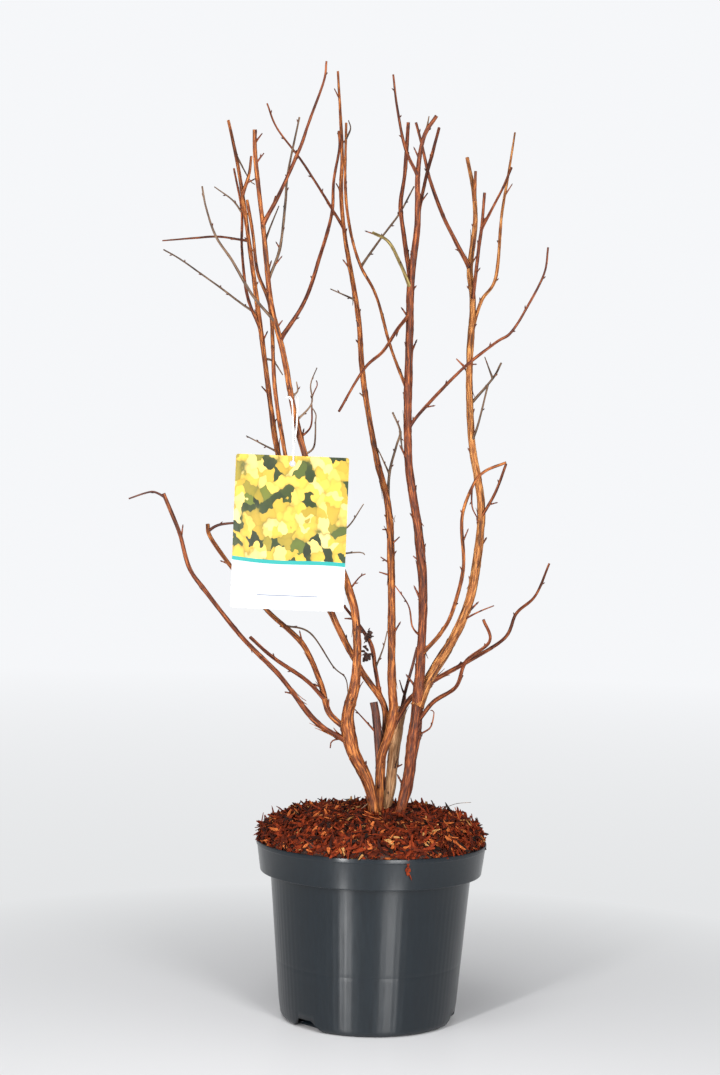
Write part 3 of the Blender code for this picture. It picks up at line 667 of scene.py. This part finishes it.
limb("centre_stem", (7, 8, 6.8, 6.4, 4.9, 4.8, 4, 3.4, 2),
     (0.6, -0.8, 17.5), (0.6, -1.1, 21.7), (1.3, -1.4, 24.5), (1.6, -1, 26.4), (1.4, -0.3, 28.9),
     (1.2, 1.2, 36.8), (0.8, 2.4, 43.5), (-0.4, 3.2, 48.2), (-1.7, 4.2, 55), (-2.3, 5, 60.8),
     (-3.6, 6, 67.5), (-4.1, 6.6, 71.7), (-4.1, 7.1, 75.3), (-4.4, 7.6, 79.5), (-4.7, 8.1, 83.1))
limb("stump", (6, 6.5, 7), (0.3, -0.9, 23.9), (0.1, -0.8, 25.9), (-0.1, -0.7, 27), on=("centre_stem", 21.4),
     wood="dark")
limb("middle_stump", (6.5, 9.5, 10, 7.5), (1.2, 0.4, 17.5), (1.6, 0.7, 20.7), (1.9, 1, 23.4),
     (2.4, 1.3, 26.5), wood="stripped")
limb("middle_shoot", (3.2, 2.2), (2.6, 1.6, 27.6), (3.2, 2.2, 29.9), (3.6, 2.7, 31.6),
     on=("middle_stump", 25.8), wood="dark")
limb("dried_shoot", (3.8, 3.6, 2.2), (0, 0.4, 29.6), (-0.4, 0.8, 31.7), (-1.4, 1.2, 33.3),
     (-2.9, 1.7, 35.1), on=("left_rear_stem", 27.4), wood="red")
limb("middle_side_shoot", (2.8, 2.2, 1.8), (0.8, 3.6, 46.7), (1.4, 5, 49.3), (1.7, 5.6, 50.6),
     (1, 6.4, 52.3), on=("centre_stem", 43.9), wood="grey")
limb("back_left_twig", (2.6, 2.2, 1.5), (-6, 7.8, 72.3), (-8, 9.2, 75.4), (-10.2, 10.6, 78.4),
     (-11.2, 11.4, 80.8), on=("centre_stem", 68.6), wood="red")

limb("right_stem", (8, 11.5, 7.2, 8, 6.8, 6.8, 6.4, 4.8, 3),
     (2.1, -1.2, 17.5), (2.9, -1.3, 20), (3.3, -1.5, 23.5), (3.6, -1.7, 26.9), (3.8, -2.1, 31.6),
     (3.8, -2.6, 37), (3.2, -3, 42.1), (2.3, -3.4, 47.3), (2.1, -3.7, 53.1), (2.1, -3.9, 58.1),
     (2.1, -4.2, 62.7), (2.5, -4.6, 67.3), (2.4, -5.2, 71.3), (2.8, -5.8, 74.3), (3.8, -6.4, 76),
     wood="red")
limb("top_twig", (3, 2.4, 1.6), (1.3, -6.4, 73.2), (0.5, -8.2, 76.2), (0.1, -9.6, 78.5),
     on=("right_stem", 71.3), wood="red")
limb("right_stem_inner_bough", (4.2, 3.6, 3), (1.5, -3, 66.2), (1.1, -2.2, 69.3), (1.4, -1.6, 72.2),
     (1.6, -0.9, 76.6), on=("right_stem", 62.4), wood="red")
limb("right_stem_fork", (3.2, 2.6), (3.2, -3.4, 71.7), (3.7, -2.6, 73.8), (4.2, -1.9, 76),
     on=("right_stem", 68), wood="red")
limb("split_tip_bough", (3.2, 2.8, 2.4), (1.1, -5.6, 63.9), (0.1, -7, 65.4), (-1.2, -8.4, 65.9),
     on=("right_stem", 62), wood="olive")
limb("crossing_bough", (3.2, 2.6, 2), (1, -5, 58.4), (-0.1, -6.2, 56.5), (-1.7, -7.4, 54.8),
     (-3.6, -9.4, 51.2), on=("right_stem", 59.9), wood="red")
limb("crossing_shoot", (2.8, 2.6, 2.6, 2.6, 2.2), (1, -2.2, 56.1), (0.4, -1, 57.9), (-0.8, 1.2, 62.1),
     (-2.2, 3.2, 64.9), (-3.1, 4.2, 67.8), (-3.7, 4.9, 71.8), (-3.8, 5.6, 77.9),
     on=("right_stem", 53.3), sides=BOUGH_SIDES)
limb("back_right_twig", (2.4, 2, 1.5), (-0.4, 6.4, 67.9), (1.2, 8.6, 70.5), (2.5, 10.4, 73.3),
     on=("crossing_shoot", 64.8), wood="grey")
limb("long_right_twig", (3, 2.6, 2.2, 1.5), (3.3, -4.4, 51.8), (6.4, -6.6, 55.1), (9, -8.2, 57.2),
     (10.2, -8.9, 58), (11.5, -9.8, 60.2), (12.6, -10.7, 62.6), (12.8, -11.3, 64.6),
     on=("right_stem", 50.2), wood="red")
limb("right_front_bough", (3.6, 3.2, 2.8, 2.2), (5.4, -3.2, 33.2), (6.3, -4.2, 35.2), (7, -5.6, 38.8),
     (6.7, -7, 42.8), (7.5, -8.2, 45.6), (8.4, -8.7, 46.7), (10, -9.5, 47.4), on=("right_stem", 31.2))
limb("right_low_twig", (3.8, 3.2, 2.4), (4.9, -2.8, 27.3), (6.7, -4.6, 28.8), (7.4, -5.8, 31),
     (9.2, -7.4, 32.8), (8.6, -8.2, 34.6), on=("right_stem", 25.2), wood="red")
limb("right_outer_stem", (9, 8.5, 7.8, 7, 6.2, 6.1, 5.8, 4.6, 3.1),
     (4.6, -1.1, 29.2), (6.8, 0.3, 32.9), (8.1, 1.4, 36.3), (8.7, 2.3, 40.2), (8.9, 3.2, 44.3),
     (8, 4.2, 49.9), (7.7, 5.2, 56.2), (7.9, 6.1, 62.1), (7.6, 6.6, 65.4), (8, 7.2, 69.4),
     (7.8, 7.8, 72.6), (7.2, 8.6, 75.7), on=("right_stem", 26.8), wood="pale")
limb("right_low_bough", (5.2, 4.4, 3.6, 2.8, 2), (2, -0.4, 25.6), (3.1, 0.6, 27.3), (5, 2, 28.7),
     (8.2, 4, 30.4), (11.5, 6.2, 32.4), (12.6, 7.2, 34.6), (14.4, 8.6, 36.2), (15.7, 9.9, 39.1),
     on=("centre_stem", 24), wood="red")
limb("right_outer_fork", (3, 2.6), (7.9, 7.2, 73.2), (7.9, 7, 74.2), on=("right_outer_stem", 71.6))
limb("right_inward_bough", (4, 3.2, 2.4), (5.2, 4.8, 69.3), (3.7, 3.2, 72.6), (2.9, 2, 75.3),
     (2.3, 1.2, 77.1), on=("right_outer_stem", 65.4), wood="red")
limb("right_dark_strand", (3.4, 3, 2.6), (8.2, 4.6, 66.7), (8.4, 3.8, 68.8), (8.5, 2.9, 71.5),
     on=("right_outer_stem", 62.4), wood="red")
limb("right_top_bough", (3.4, 3, 2.6, 1.8), (8.7, 6.6, 62.5), (10, 7.6, 64.8), (10.5, 9.2, 70.6),
     (11.1, 10.3, 74.6), (11.7, 11.4, 78.7), on=("right_outer_stem", 59.5), wood="pale")
limb("right_top_twig", (2.6, 2), (9.2, 2.6, 70.1), (10, 1.2, 71.7), (10.6, 0.1, 73.2),
     on=("right_dark_strand", 68.5), wood="red")
limb("right_side_twig", (2.8, 2.2), (10, 1.6, 45.2), (10.8, 0.4, 47.7), on=("right_outer_stem", 43.1),
     wood="red")
limb("right_bent_twig", (2.6, 1.8), (9.9, 6.8, 55.6), (10.7, 7.8, 57.1), on=("right_outer_stem", 53),
     wood="grey")
limb("right_slim_twig", (2.2, 1.6), (8.5, 3, 51.4), (9.1, 1, 54.5), on=("right_outer_stem", 49.7),
     wood="grey")

# The fine twigs
# Thin side twigs, most of them dead and dry, that break off short. Each starts inside the wood that bears it
# and tapers to its tip. The redder ones are joined apart from the grey ones. One stray root is grey too.

FINE_TWIG_FOOT = 1.9
FINE_TWIG_TIP = 1.0
ROOT_MARKS = ((5.2, 0.2, 17), (5.9, 0.2, 17.7), (7.1, 0.3, 18.3), (8.5, 0.2, 18.5))
fine_twigs = {"red": bark_mesh(), "grey": bark_mesh()}


def twig(wood, bearer, height, *marks):
    """A thin twig from a height on its bearer's centre line, through marks in centimetres."""
    route = [point_on(bearer, height)] + [Vector(mark) * CM for mark in marks]
    course = with_diameters(smooth_course(route), (FINE_TWIG_FOOT, FINE_TWIG_TIP))
    rings = tube(fine_twigs[wood], course, TWIG_SIDES - 2)
    leaf_scars = leaf_scars_along(rings, 14 * MM)
    wear(fine_twigs[wood], rings, leaf_scars, branching=True)
    grow_trimmings(rings, leaf_scars)


twig("red", "left_stem", 73.5, (-10.6, -5.4, 74.4))
twig("red", "left_stem", 71.9, (-10.4, -5.7, 72.7))
twig("grey", "left_rear_stem", 74.8, (-12.3, 5.8, 72.7), (-11.8, 6, 72.3))
twig("grey", "left_outer_shoot", 69.7, (-13.8, 6.2, 70.9), (-15.5, 7.1, 72.2))
twig("grey", "left_stem", 65.5, (-9.9, -3.7, 66.7), (-9.2, -2.6, 68.9))
twig("red", "left_stem", 58.5, (-8.6, -3.8, 59.1))
twig("grey", "left_rear_stem", 56.3, (-9.5, 1.2, 56.1), (-8.7, 1.7, 55))
twig("grey", "left_stem", 47.9, (-5.7, -3.4, 48.6), (-5.6, -4, 50.6), (-5.6, -4.2, 51.3), (-6, -4.4, 51.9))
twig("red", "left_stem", 49.3, (-6, -2.9, 50.4), (-6, -2.2, 52.7), (-5.6, -1.8, 53.9), (-5.7, -1.7, 54.3))
twig("grey", "left_stem", 50.7, (-6, -3.3, 52.2), (-6.1, -3.6, 53.8), (-5.6, -3.9, 55.2))
twig("grey", "left_stem", 52.8, (-7.2, -3.4, 53.2), (-7.3, -3.6, 54))
twig("grey", "left_rear_stem", 48.2, (-10.1, 0.3, 48.8), (-11.7, 1.1, 49.6))
twig("grey", "left_low_bough", 33.2,
     (-5.8, 2.8, 32.6), (-3.7, 3.2, 29.7), (-2.6, 3.3, 28.7), (-2.3, 3.4, 27.1))
twig("red", "stump", 24.3, (-1.7, -1.4, 26.4))
twig("red", "left_stem", 24.1, (-3.5, -2.4, 23.8), (-3.7, -2.7, 23.2))
twig("grey", "dried_shoot", 34, (-2.9, 2, 35.1))
twig("red", "dried_shoot", 34, (-2.8, 1.2, 34))
twig("red", "left_stem", 36.6, (-1.6, -3.4, 37.7), (-1.1, -3.6, 38))
twig("grey", "left_stem", 41.2, (-2.7, -3.2, 41.9), (-1.4, -2.2, 43.9))
twig("grey", "left_stem", 39.6, (-1.6, -2.7, 39.8), (-1.2, -2.5, 39.6))
twig("grey", "dried_shoot", 29.8, (0.6, -0.1, 31.6), (0.9, -0.6, 33.1))
twig("red", "middle_shoot", 27.6, (2.4, 1.4, 27.9), (2.1, 1.1, 28.8))
twig("red", "middle_stump", 21.1, (2.5, 0.4, 21.6))
twig("grey", "centre_stem", 62.1, (-4.8, 4.1, 62.9))
twig("grey", "centre_stem", 53.3, (-2, 4.2, 53.8))
twig("grey", "middle_side_shoot", 50.6, (1.9, 5, 49.1), (2.2, 4.8, 48.5))
twig("grey", "middle_side_shoot", 46.7, (-0.3, 2.6, 48.9))
twig("red", "centre_stem", 40.5, (1.5, 1.6, 40.9), (1.8, 1.5, 41.2))
twig("red", "centre_stem", 38.8, (0.2, 1.8, 39.4))
twig("red", "centre_stem", 37.8, (0.1, 1.1, 38.1))
twig("red", "centre_stem", 41.8, (0.3, 2.3, 41.8))
twig("grey", "crossing_shoot", 76.4, (-3.4, 5.7, 77.4), (-3.6, 5.9, 78.2))
twig("red", "right_stem", 32.7, (3, -2.5, 33.6), (2.6, -3.1, 35.4), (1.4, -3.7, 37.1))
twig("red", "right_stem", 35.4, (3.3, -2, 36.7))
twig("red", "right_stem", 39, (2.9, -2.5, 39.6))
twig("red", "right_stem", 24.2, (4.3, -1.8, 24.7), (4.8, -2.1, 25.2), (5, -2.5, 26.4), (4.7, -2.6, 26.6))
twig("grey", "right_stem", 74.8, (3.2, -5.7, 76.1))
twig("red", "right_front_bough", 45.3, (7.4, -8.9, 43.8), (7.8, -9.3, 42.9))
twig("grey", "right_bent_twig", 55.6, (9.2, 7.8, 57.6))
twig("red", "long_right_twig", 55.3, (5.9, -7.3, 55.9))
twig("red", "right_outer_stem", 34.1, (8.7, 0.1, 34.9), (10, -0.4, 35.5))
twig("grey", "left_stem", 18.7, (-0.3, -1.7, 18.5), (-0.9, -1.6, 18))
root = [Vector(mark) * CM for mark in ROOT_MARKS]
rings = tube(fine_twigs["grey"], with_diameters(smooth_course(root), (0.7, 0.4)), 5)
wear(fine_twigs["grey"], rings, [], branching=False)
for wood, bm in fine_twigs.items():
    piece = place("fine_twigs_" + wood, bm, BARKS[wood], smooth_under=60)
    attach(piece, "root")

# Buds, spurs and peeling bark
# Small pointed winter buds sit on the leaf scars, some of them on a short spur. On the thicker wood the bark
# comes away in thin strips that stay fixed at one end, and dry crumpled remains hang on one low shoot.

REMAINS = (((-0.75, 0.6, 32.4), 16), ((-0.9, 0.4, 30.9), 26))  # middle of each clump, and its pieces

def shaped(make):
    """A small shape as a mesh that isn't in the scene, from a function that fills a bmesh."""
    bm = bmesh.new()
    make(bm)
    bmesh.ops.recalc_face_normals(bm, faces=bm.faces[:])
    mesh = bpy.data.meshes.new("shape")
    bm.to_mesh(mesh)
    bm.free()
    return mesh


def bud(bm):
    bmesh.ops.create_uvsphere(bm, u_segments=6, v_segments=5, radius=0.5)
    for vert in bm.verts:
        vert.co.xy *= 1 - 0.7 * max(vert.co.z, 0) / 0.5
        vert.co.z += 0.4


def spur(bm):
    bmesh.ops.create_cone(bm, cap_ends=True, segments=7, radius1=0.62, radius2=0.42, depth=1.05)
    bmesh.ops.translate(bm, vec=(0, 0, 0.48), verts=bm.verts[:])


def flake(bm):
    """A strip that lies along Z, is fixed at its foot and curls out, along X, towards its tip."""
    bmesh.ops.create_cube(bm, size=1)
    bmesh.ops.scale(bm, vec=(0.16, 1, 1), verts=bm.verts[:])
    bmesh.ops.translate(bm, vec=(0, 0, 0.5), verts=bm.verts[:])
    long_edges = [edge for edge in bm.edges if abs(edge.verts[0].co.z - edge.verts[1].co.z) > 0.5]
    bmesh.ops.subdivide_edges(bm, edges=long_edges, cuts=4)
    sway = random.uniform(-0.8, 0.8)
    for vert in bm.verts:
        bend = sway * vert.co.z ** 2
        vert.co.y = vert.co.y * (1 - 0.75 * vert.co.z ** 2) * random.uniform(0.75, 1.1) + bend
        vert.co.x += vert.co.z ** 2.2


bits = {wood: bark("loose " + wood + " bark", *BARK_TONES[wood], follows=None)
        for wood in ("dark", "red", "orange")}
bud_piece = joined("buds", [shaped(bud)], buds, bits["dark"], smooth_under=40)
spur_piece = joined("spurs", [shaped(spur)], spurs, bits["red"], smooth_under=50)
flake_shapes = [shaped(flake) for _ in range(FLAKE_SHAPES)]
half = len(flakes) // 2
flake_piece = joined("bark_flakes", flake_shapes, flakes[:half], bits["orange"])
dark_flake_piece = joined("dark_bark_flakes", flake_shapes, flakes[half:], bits["dark"])
remains = []
for centre, count in REMAINS:
    for _ in range(count):
        spot = Vector(centre) * CM + Vector([random.gauss(0, spread) for spread in (1.6, 1.6, 3.2)]) * MM
        turn = random.uniform(0, math.tau)
        spin = Matrix.Rotation(turn, 4, Vector([random.gauss(0, 1) for _ in range(3)]))
        number = random.randrange(CHIP_SHAPES)
        size = (random.uniform(3, 6) * MM, random.uniform(2, 4) * MM, 0.7 * MM, 1)
        remains.append((number, Matrix.Translation(spot) @ spin @ Matrix.Diagonal(size)))
crumpled = surface("dried blackish remains", ((0.36, (0.008, 0.004, 0.004)), (0.66, (0.075, 0.026, 0.015))),
                   grain=1.5 * MM, roughness=(0.6, 0.85), depth=0.3 * MM)
remains_piece = joined("dried_remains", splinters, remains, crumpled)

# The picture card
# A stiff coated card with rounded corners, printed on its front: a bright pattern, a wavy band under it and
# a bare white field with one ruled line. It is punched near its top edge and hangs by a thread.

CARD_WIDTH = 95 * MM
CARD_HEIGHT = 129 * MM
CARD_THICKNESS = 0.6 * MM
CARD_ROUNDING = 2 * MM
CARD_CURL = 1.2 * MM
CARD_CENTRE = Vector((-7.53, -4.0, 41.3)) * CM
CARD_TILT = math.radians(0.8)
HOLE_DROP = 6.5 * MM
HOLE_RADIUS = 2.6 * MM
BAND_FOOT = 0.312  # these five are shares of the card's height or width
BAND_TOP = 0.338
LINE_HEIGHT = 0.09
LINE_THICKNESS = 0.008
LINE_LENGTH = 0.54
PRINT_TINTS = (
    (0, (0.010, 0.018, 0.004)),
    (1, (0.72, 0.57, 0.22)),
    (0.14, (0.02, 0.035, 0.006)),
    (0.20, (0.10, 0.130, 0.015)),
    (0.32, (0.42, 0.270, 0.025)),
    (0.60, (0.66, 0.410, 0.050)),
)


def printed_card():
    """The print, laid out on the card's own width and height."""
    material = surface("printed card", ((0.3, (0.54, 0.55, 0.57)), (0.7, (0.58, 0.59, 0.61))), 30 * MM,
                       (0.28, 0.36), 0.02 * MM)
    tree = material.node_tree
    sheet = node(tree, "UVMap")
    sheet.uv_map = "sheet"
    spot = sheet.outputs["UV"]
    parts = node(tree, "SeparateXYZ", Vector=spot)
    across, up = parts.outputs["X"], parts.outputs["Y"]
    wave = value_of(tree, "SINE", value_of(tree, "MULTIPLY", across, 5.2))
    level = value_of(tree, "ADD", up, value_of(tree, "MULTIPLY", across, 0.03))
    level = value_of(tree, "ADD", level, value_of(tree, "MULTIPLY", wave, 0.009))
    bend = node(tree, "TexNoise", Vector=spot, Scale=9, Detail=2)
    swirl = over(tree, spot, bend.outputs["Color"], 0.16)
    spread = node(tree, "Mapping", Vector=swirl, Scale=(13, 17.6, 1))
    cells = node(tree, "TexVoronoi", Vector=spread.outputs["Vector"], Scale=1)
    cells.voronoi_dimensions = "2D"
    tone = node(tree, "SeparateXYZ", Vector=cells.outputs["Color"])
    tints = ramp(tree, tone.outputs["X"], PRINT_TINTS)
    edge = value_of(tree, "SMOOTH_MIN", value_of(tree, "POWER", cells.outputs["Distance"], 3), 1)
    picture = over(tree, tints.outputs["Color"], (0.060, 0.070, 0.010), edge)
    colour = over(tree, tree.nodes["colour"].outputs["Color"], (0.010, 0.270, 0.250),
                  value_of(tree, "GREATER_THAN", level, BAND_FOOT))
    colour = over(tree, colour, picture, value_of(tree, "GREATER_THAN", level, BAND_TOP))
    off_line = value_of(tree, "ABSOLUTE", value_of(tree, "SUBTRACT", up, LINE_HEIGHT))
    off_middle = value_of(tree, "ABSOLUTE", value_of(tree, "SUBTRACT", across, 0.5))
    line = value_of(tree, "MULTIPLY", value_of(tree, "LESS_THAN", off_line, LINE_THICKNESS / 2),
                    value_of(tree, "LESS_THAN", off_middle, LINE_LENGTH / 2))
    colour = over(tree, colour, (0.20, 0.22, 0.27), line)
    feed(tree, tree.nodes["Principled BSDF"].inputs["Base Color"], colour)
    return material


sheet = bmesh.new()
bmesh.ops.create_cube(sheet, size=1)
bmesh.ops.scale(sheet, vec=(CARD_WIDTH, CARD_THICKNESS, CARD_HEIGHT), verts=sheet.verts[:])
corners = [edge for edge in sheet.edges
           if abs(edge.verts[0].co.y - edge.verts[1].co.y) > CARD_THICKNESS / 2]
bmesh.ops.bevel(sheet, geom=corners, affect="EDGES", offset=CARD_ROUNDING, segments=5, profile=0.5,
                material=-1)
for share in range(-7, 8):
    bmesh.ops.bisect_plane(sheet, geom=sheet.verts[:] + sheet.edges[:] + sheet.faces[:],
                           plane_co=(share * CARD_WIDTH / 16, 0, 0), plane_no=(1, 0, 0))
uv = sheet.loops.layers.uv.new("sheet")
for face in sheet.faces:
    for loop in face.loops:
        loop[uv].uv = (loop.vert.co.x / CARD_WIDTH + 0.5, loop.vert.co.z / CARD_HEIGHT + 0.5)
    face.material_index = 0 if face.normal.y < -0.5 else 1
card = place("hanging_card", sheet, printed_card(), smooth_under=40)
blank = surface("blank card back", ((0.3, (0.72, 0.73, 0.73)), (0.7, (0.80, 0.81, 0.81))), 12 * MM,
                (0.4, 0.55), 0.03 * MM)
card.data.materials.append(blank)
punch = bmesh.new()
bmesh.ops.create_cone(punch, cap_ends=True, segments=32, radius1=HOLE_RADIUS, radius2=HOLE_RADIUS,
                      depth=10 * CARD_THICKNESS)
bmesh.ops.rotate(punch, cent=(0, 0, 0), matrix=Matrix.Rotation(math.pi / 2, 3, "X"),
                 verts=punch.verts[:])
bmesh.ops.translate(punch, vec=(0, 0, CARD_HEIGHT / 2 - HOLE_DROP), verts=punch.verts[:])
cut_away(card, [place("punch", punch, blank)])
for vert in card.data.vertices:
    vert.co.y += CARD_CURL * ((vert.co.x / CARD_WIDTH) ** 2 * 2 - 0.15) * (0.5 - vert.co.z / CARD_HEIGHT)
card.data.shade_flat()
card.data.transform(Matrix.Translation(CARD_CENTRE) @ Matrix.Rotation(CARD_TILT, 4, "Y"))
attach(card, "root")
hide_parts("picture_card")

# The card's thread
# White spun thread, doubled, looped once round the left stem and run through the card's hole. The two
# strands lie side by side.

THREAD_RADIUS = 0.42 * MM
THREAD_HEIGHT = 52.7
STRAND_SHIFTS = (Vector((0, 0, 0)), Vector((0.5, -0.5, 0.9)) * MM)


def rounded_loop(marks, steps):
    """Points on a smooth closed curve through the marks."""
    count = len(marks)
    points = []
    for index in range(count):
        before, start, end, after = (marks[(index + shift) % count] for shift in (-1, 0, 1, 2))
        points += curved(before, start, end, after, steps)
    return points


knot = point_on("left_stem", THREAD_HEIGHT)
drop = CARD_HEIGHT / 2 - HOLE_DROP
hole = CARD_CENTRE + Vector((math.sin(CARD_TILT) * drop, 0, math.cos(CARD_TILT) * drop))
aside = 4.2 * MM
strands = bpy.data.curves.new("strands", "CURVE")
strands.dimensions = "3D"
strands.bevel_depth = THREAD_RADIUS
strands.bevel_resolution = 3
for shift in STRAND_SHIFTS:
    marks = [
        knot + Vector((0, aside, 1 * MM)) + shift,
        knot + Vector((-aside, 0.5 * MM, 0)) + shift,
        knot + Vector((0.5 * MM, -aside - 1 * MM, -4 * MM)) + shift,
        knot.lerp(hole, 0.5) + Vector((1.5 * MM, -4 * MM, 0)) - shift,
        hole + Vector((0.5 * MM, -1.6 * MM, 4 * MM)) + shift,
        hole + Vector((0, 0, -0.8 * MM)),
        hole + Vector((-0.5 * MM, 1.6 * MM, 4 * MM)),
        knot.lerp(hole, 0.5) + Vector((3.5 * MM, -2 * MM, 0)) + shift,
        knot + Vector((aside + 1 * MM, -1.5 * MM, -4 * MM)) + shift,
        knot + Vector((aside, 1 * MM, 0)) + shift,
    ]
    points = rounded_loop(marks, 8)
    spline = strands.splines.new("POLY")
    spline.use_cyclic_u = True
    spline.points.add(len(points) - 1)
    for target, point in zip(spline.points, points):
        target.co = (*point, 1)
spun = bpy.data.objects.new("spun", strands)
bpy.context.scene.collection.objects.link(spun)
bpy.context.view_layer.update()
thread_mesh = bpy.data.meshes.new_from_object(spun.evaluated_get(bpy.context.evaluated_depsgraph_get()))
bpy.data.objects.remove(spun, do_unlink=True)
thread = bpy.data.objects.new("card_loop", thread_mesh)
bpy.context.scene.collection.objects.link(thread)
thread_mesh.materials.clear()
thread_mesh.materials.append(
    surface("white thread", ((0.35, (0.62, 0.62, 0.62)), (0.65, (0.85, 0.85, 0.84))),
            0.6 * MM, (0.7, 0.9), 0.2 * MM, stretch=(1, 1, 2)))
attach(thread, "root")
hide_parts("card_thread")

# The studio
# A pale floor that fades into a white surround, a tall narrow and a broad soft light in front for the pot's
# two upright highlights, and a soft light above. The camera stands level with the plant's middle.

CAMERA_PLACE = Vector((-1.634, -159.27, 41.05)) * CM
CAMERA_ROLL = math.radians(1.45)
CAMERA_LENS = 62.04
SOFT_LIGHTS = (  # degrees to the right of the front, distance, height, width, tall, watts
    ("narrow light", -27, 1.15, 0.46, 0.04, 0.88, 13),
    ("broad light", 24, 1.2, 0.46, 0.34, 0.88, 15),
    ("top light", -25, 1.1, 1.9, 1.1, 1.1, 15),
)
FLOOR_RADIUS = 8
FADE_START = 0.1
FADE_END = 0.6
FAR_OFF = 4
NEAR_PALE = (0.78, 0.79, 0.80)
SURROUND = (0.92, 0.93, 0.95)
LIGHTS_AIM = Vector((0, 0, 0.35))

floor_shape = bmesh.new()
bmesh.ops.create_circle(floor_shape, cap_ends=True, segments=96, radius=FLOOR_RADIUS)
pale = bpy.data.materials.new("pale floor")
pale.use_nodes = True
tree = pale.node_tree
shader = tree.nodes["Principled BSDF"]
shader.inputs["Base Color"].default_value = (0.74, 0.74, 0.75, 1)
shader.inputs["Roughness"].default_value = 0.45
distance = node(tree, "VectorMath")
distance.operation = "LENGTH"
feed(tree, distance.inputs[0], node(tree, "TexCoord").outputs["Object"])
reach = distance.outputs["Value"]
fade = node(tree, "MapRange", Value=reach, From_Min=FADE_START, From_Max=FADE_END)
far = node(tree, "MapRange", Value=reach, From_Min=FADE_END, From_Max=FAR_OFF)
glow = node(tree, "Emission", Color=over(tree, NEAR_PALE, SURROUND, far.outputs["Result"]))
blend = node(tree, "MixShader", Fac=fade.outputs["Result"])
feed(tree, blend.inputs[1], shader.outputs["BSDF"])
feed(tree, blend.inputs[2], glow.outputs["Emission"])
feed(tree, tree.nodes["Material Output"].inputs["Surface"], blend.outputs["Shader"])
place("floor", floor_shape, pale)

world = bpy.data.worlds.new("white surround")
bpy.context.scene.world = world
world.use_nodes = True
tree = world.node_tree
background = tree.nodes["Background"]
background.inputs["Color"].default_value = (*SURROUND, 1)
seen = node(tree, "LightPath").outputs["Is Camera Ray"]
strength = node(tree, "MapRange", Value=seen, To_Min=0.3, To_Max=1.0)
feed(tree, background.inputs["Strength"], strength.outputs["Result"])

for name, turn, distance, height, width, tall, watts in SOFT_LIGHTS:
    lamp = bpy.data.lights.new(name, "AREA")
    lamp.shape = "RECTANGLE"
    lamp.size = width
    lamp.size_y = tall
    lamp.energy = watts
    holder = bpy.data.objects.new(name, lamp)
    turn = math.radians(turn)
    holder.location = (distance * math.sin(turn), -distance * math.cos(turn), height)
    aim = LIGHTS_AIM - holder.location
    holder.rotation_euler = aim.to_track_quat("-Z", "Y").to_euler()
    holder.visible_camera = False
    bpy.context.scene.collection.objects.link(holder)

camera = bpy.data.objects.new("camera", bpy.data.cameras.new("camera"))
camera.data.lens = CAMERA_LENS
camera.data.sensor_width = 36
camera.location = CAMERA_PLACE
camera.rotation_euler = (math.pi / 2, -CAMERA_ROLL, 0)
bpy.context.scene.collection.objects.link(camera)
bpy.context.scene.camera = camera
bpy.context.scene.view_settings.view_transform = "Standard"
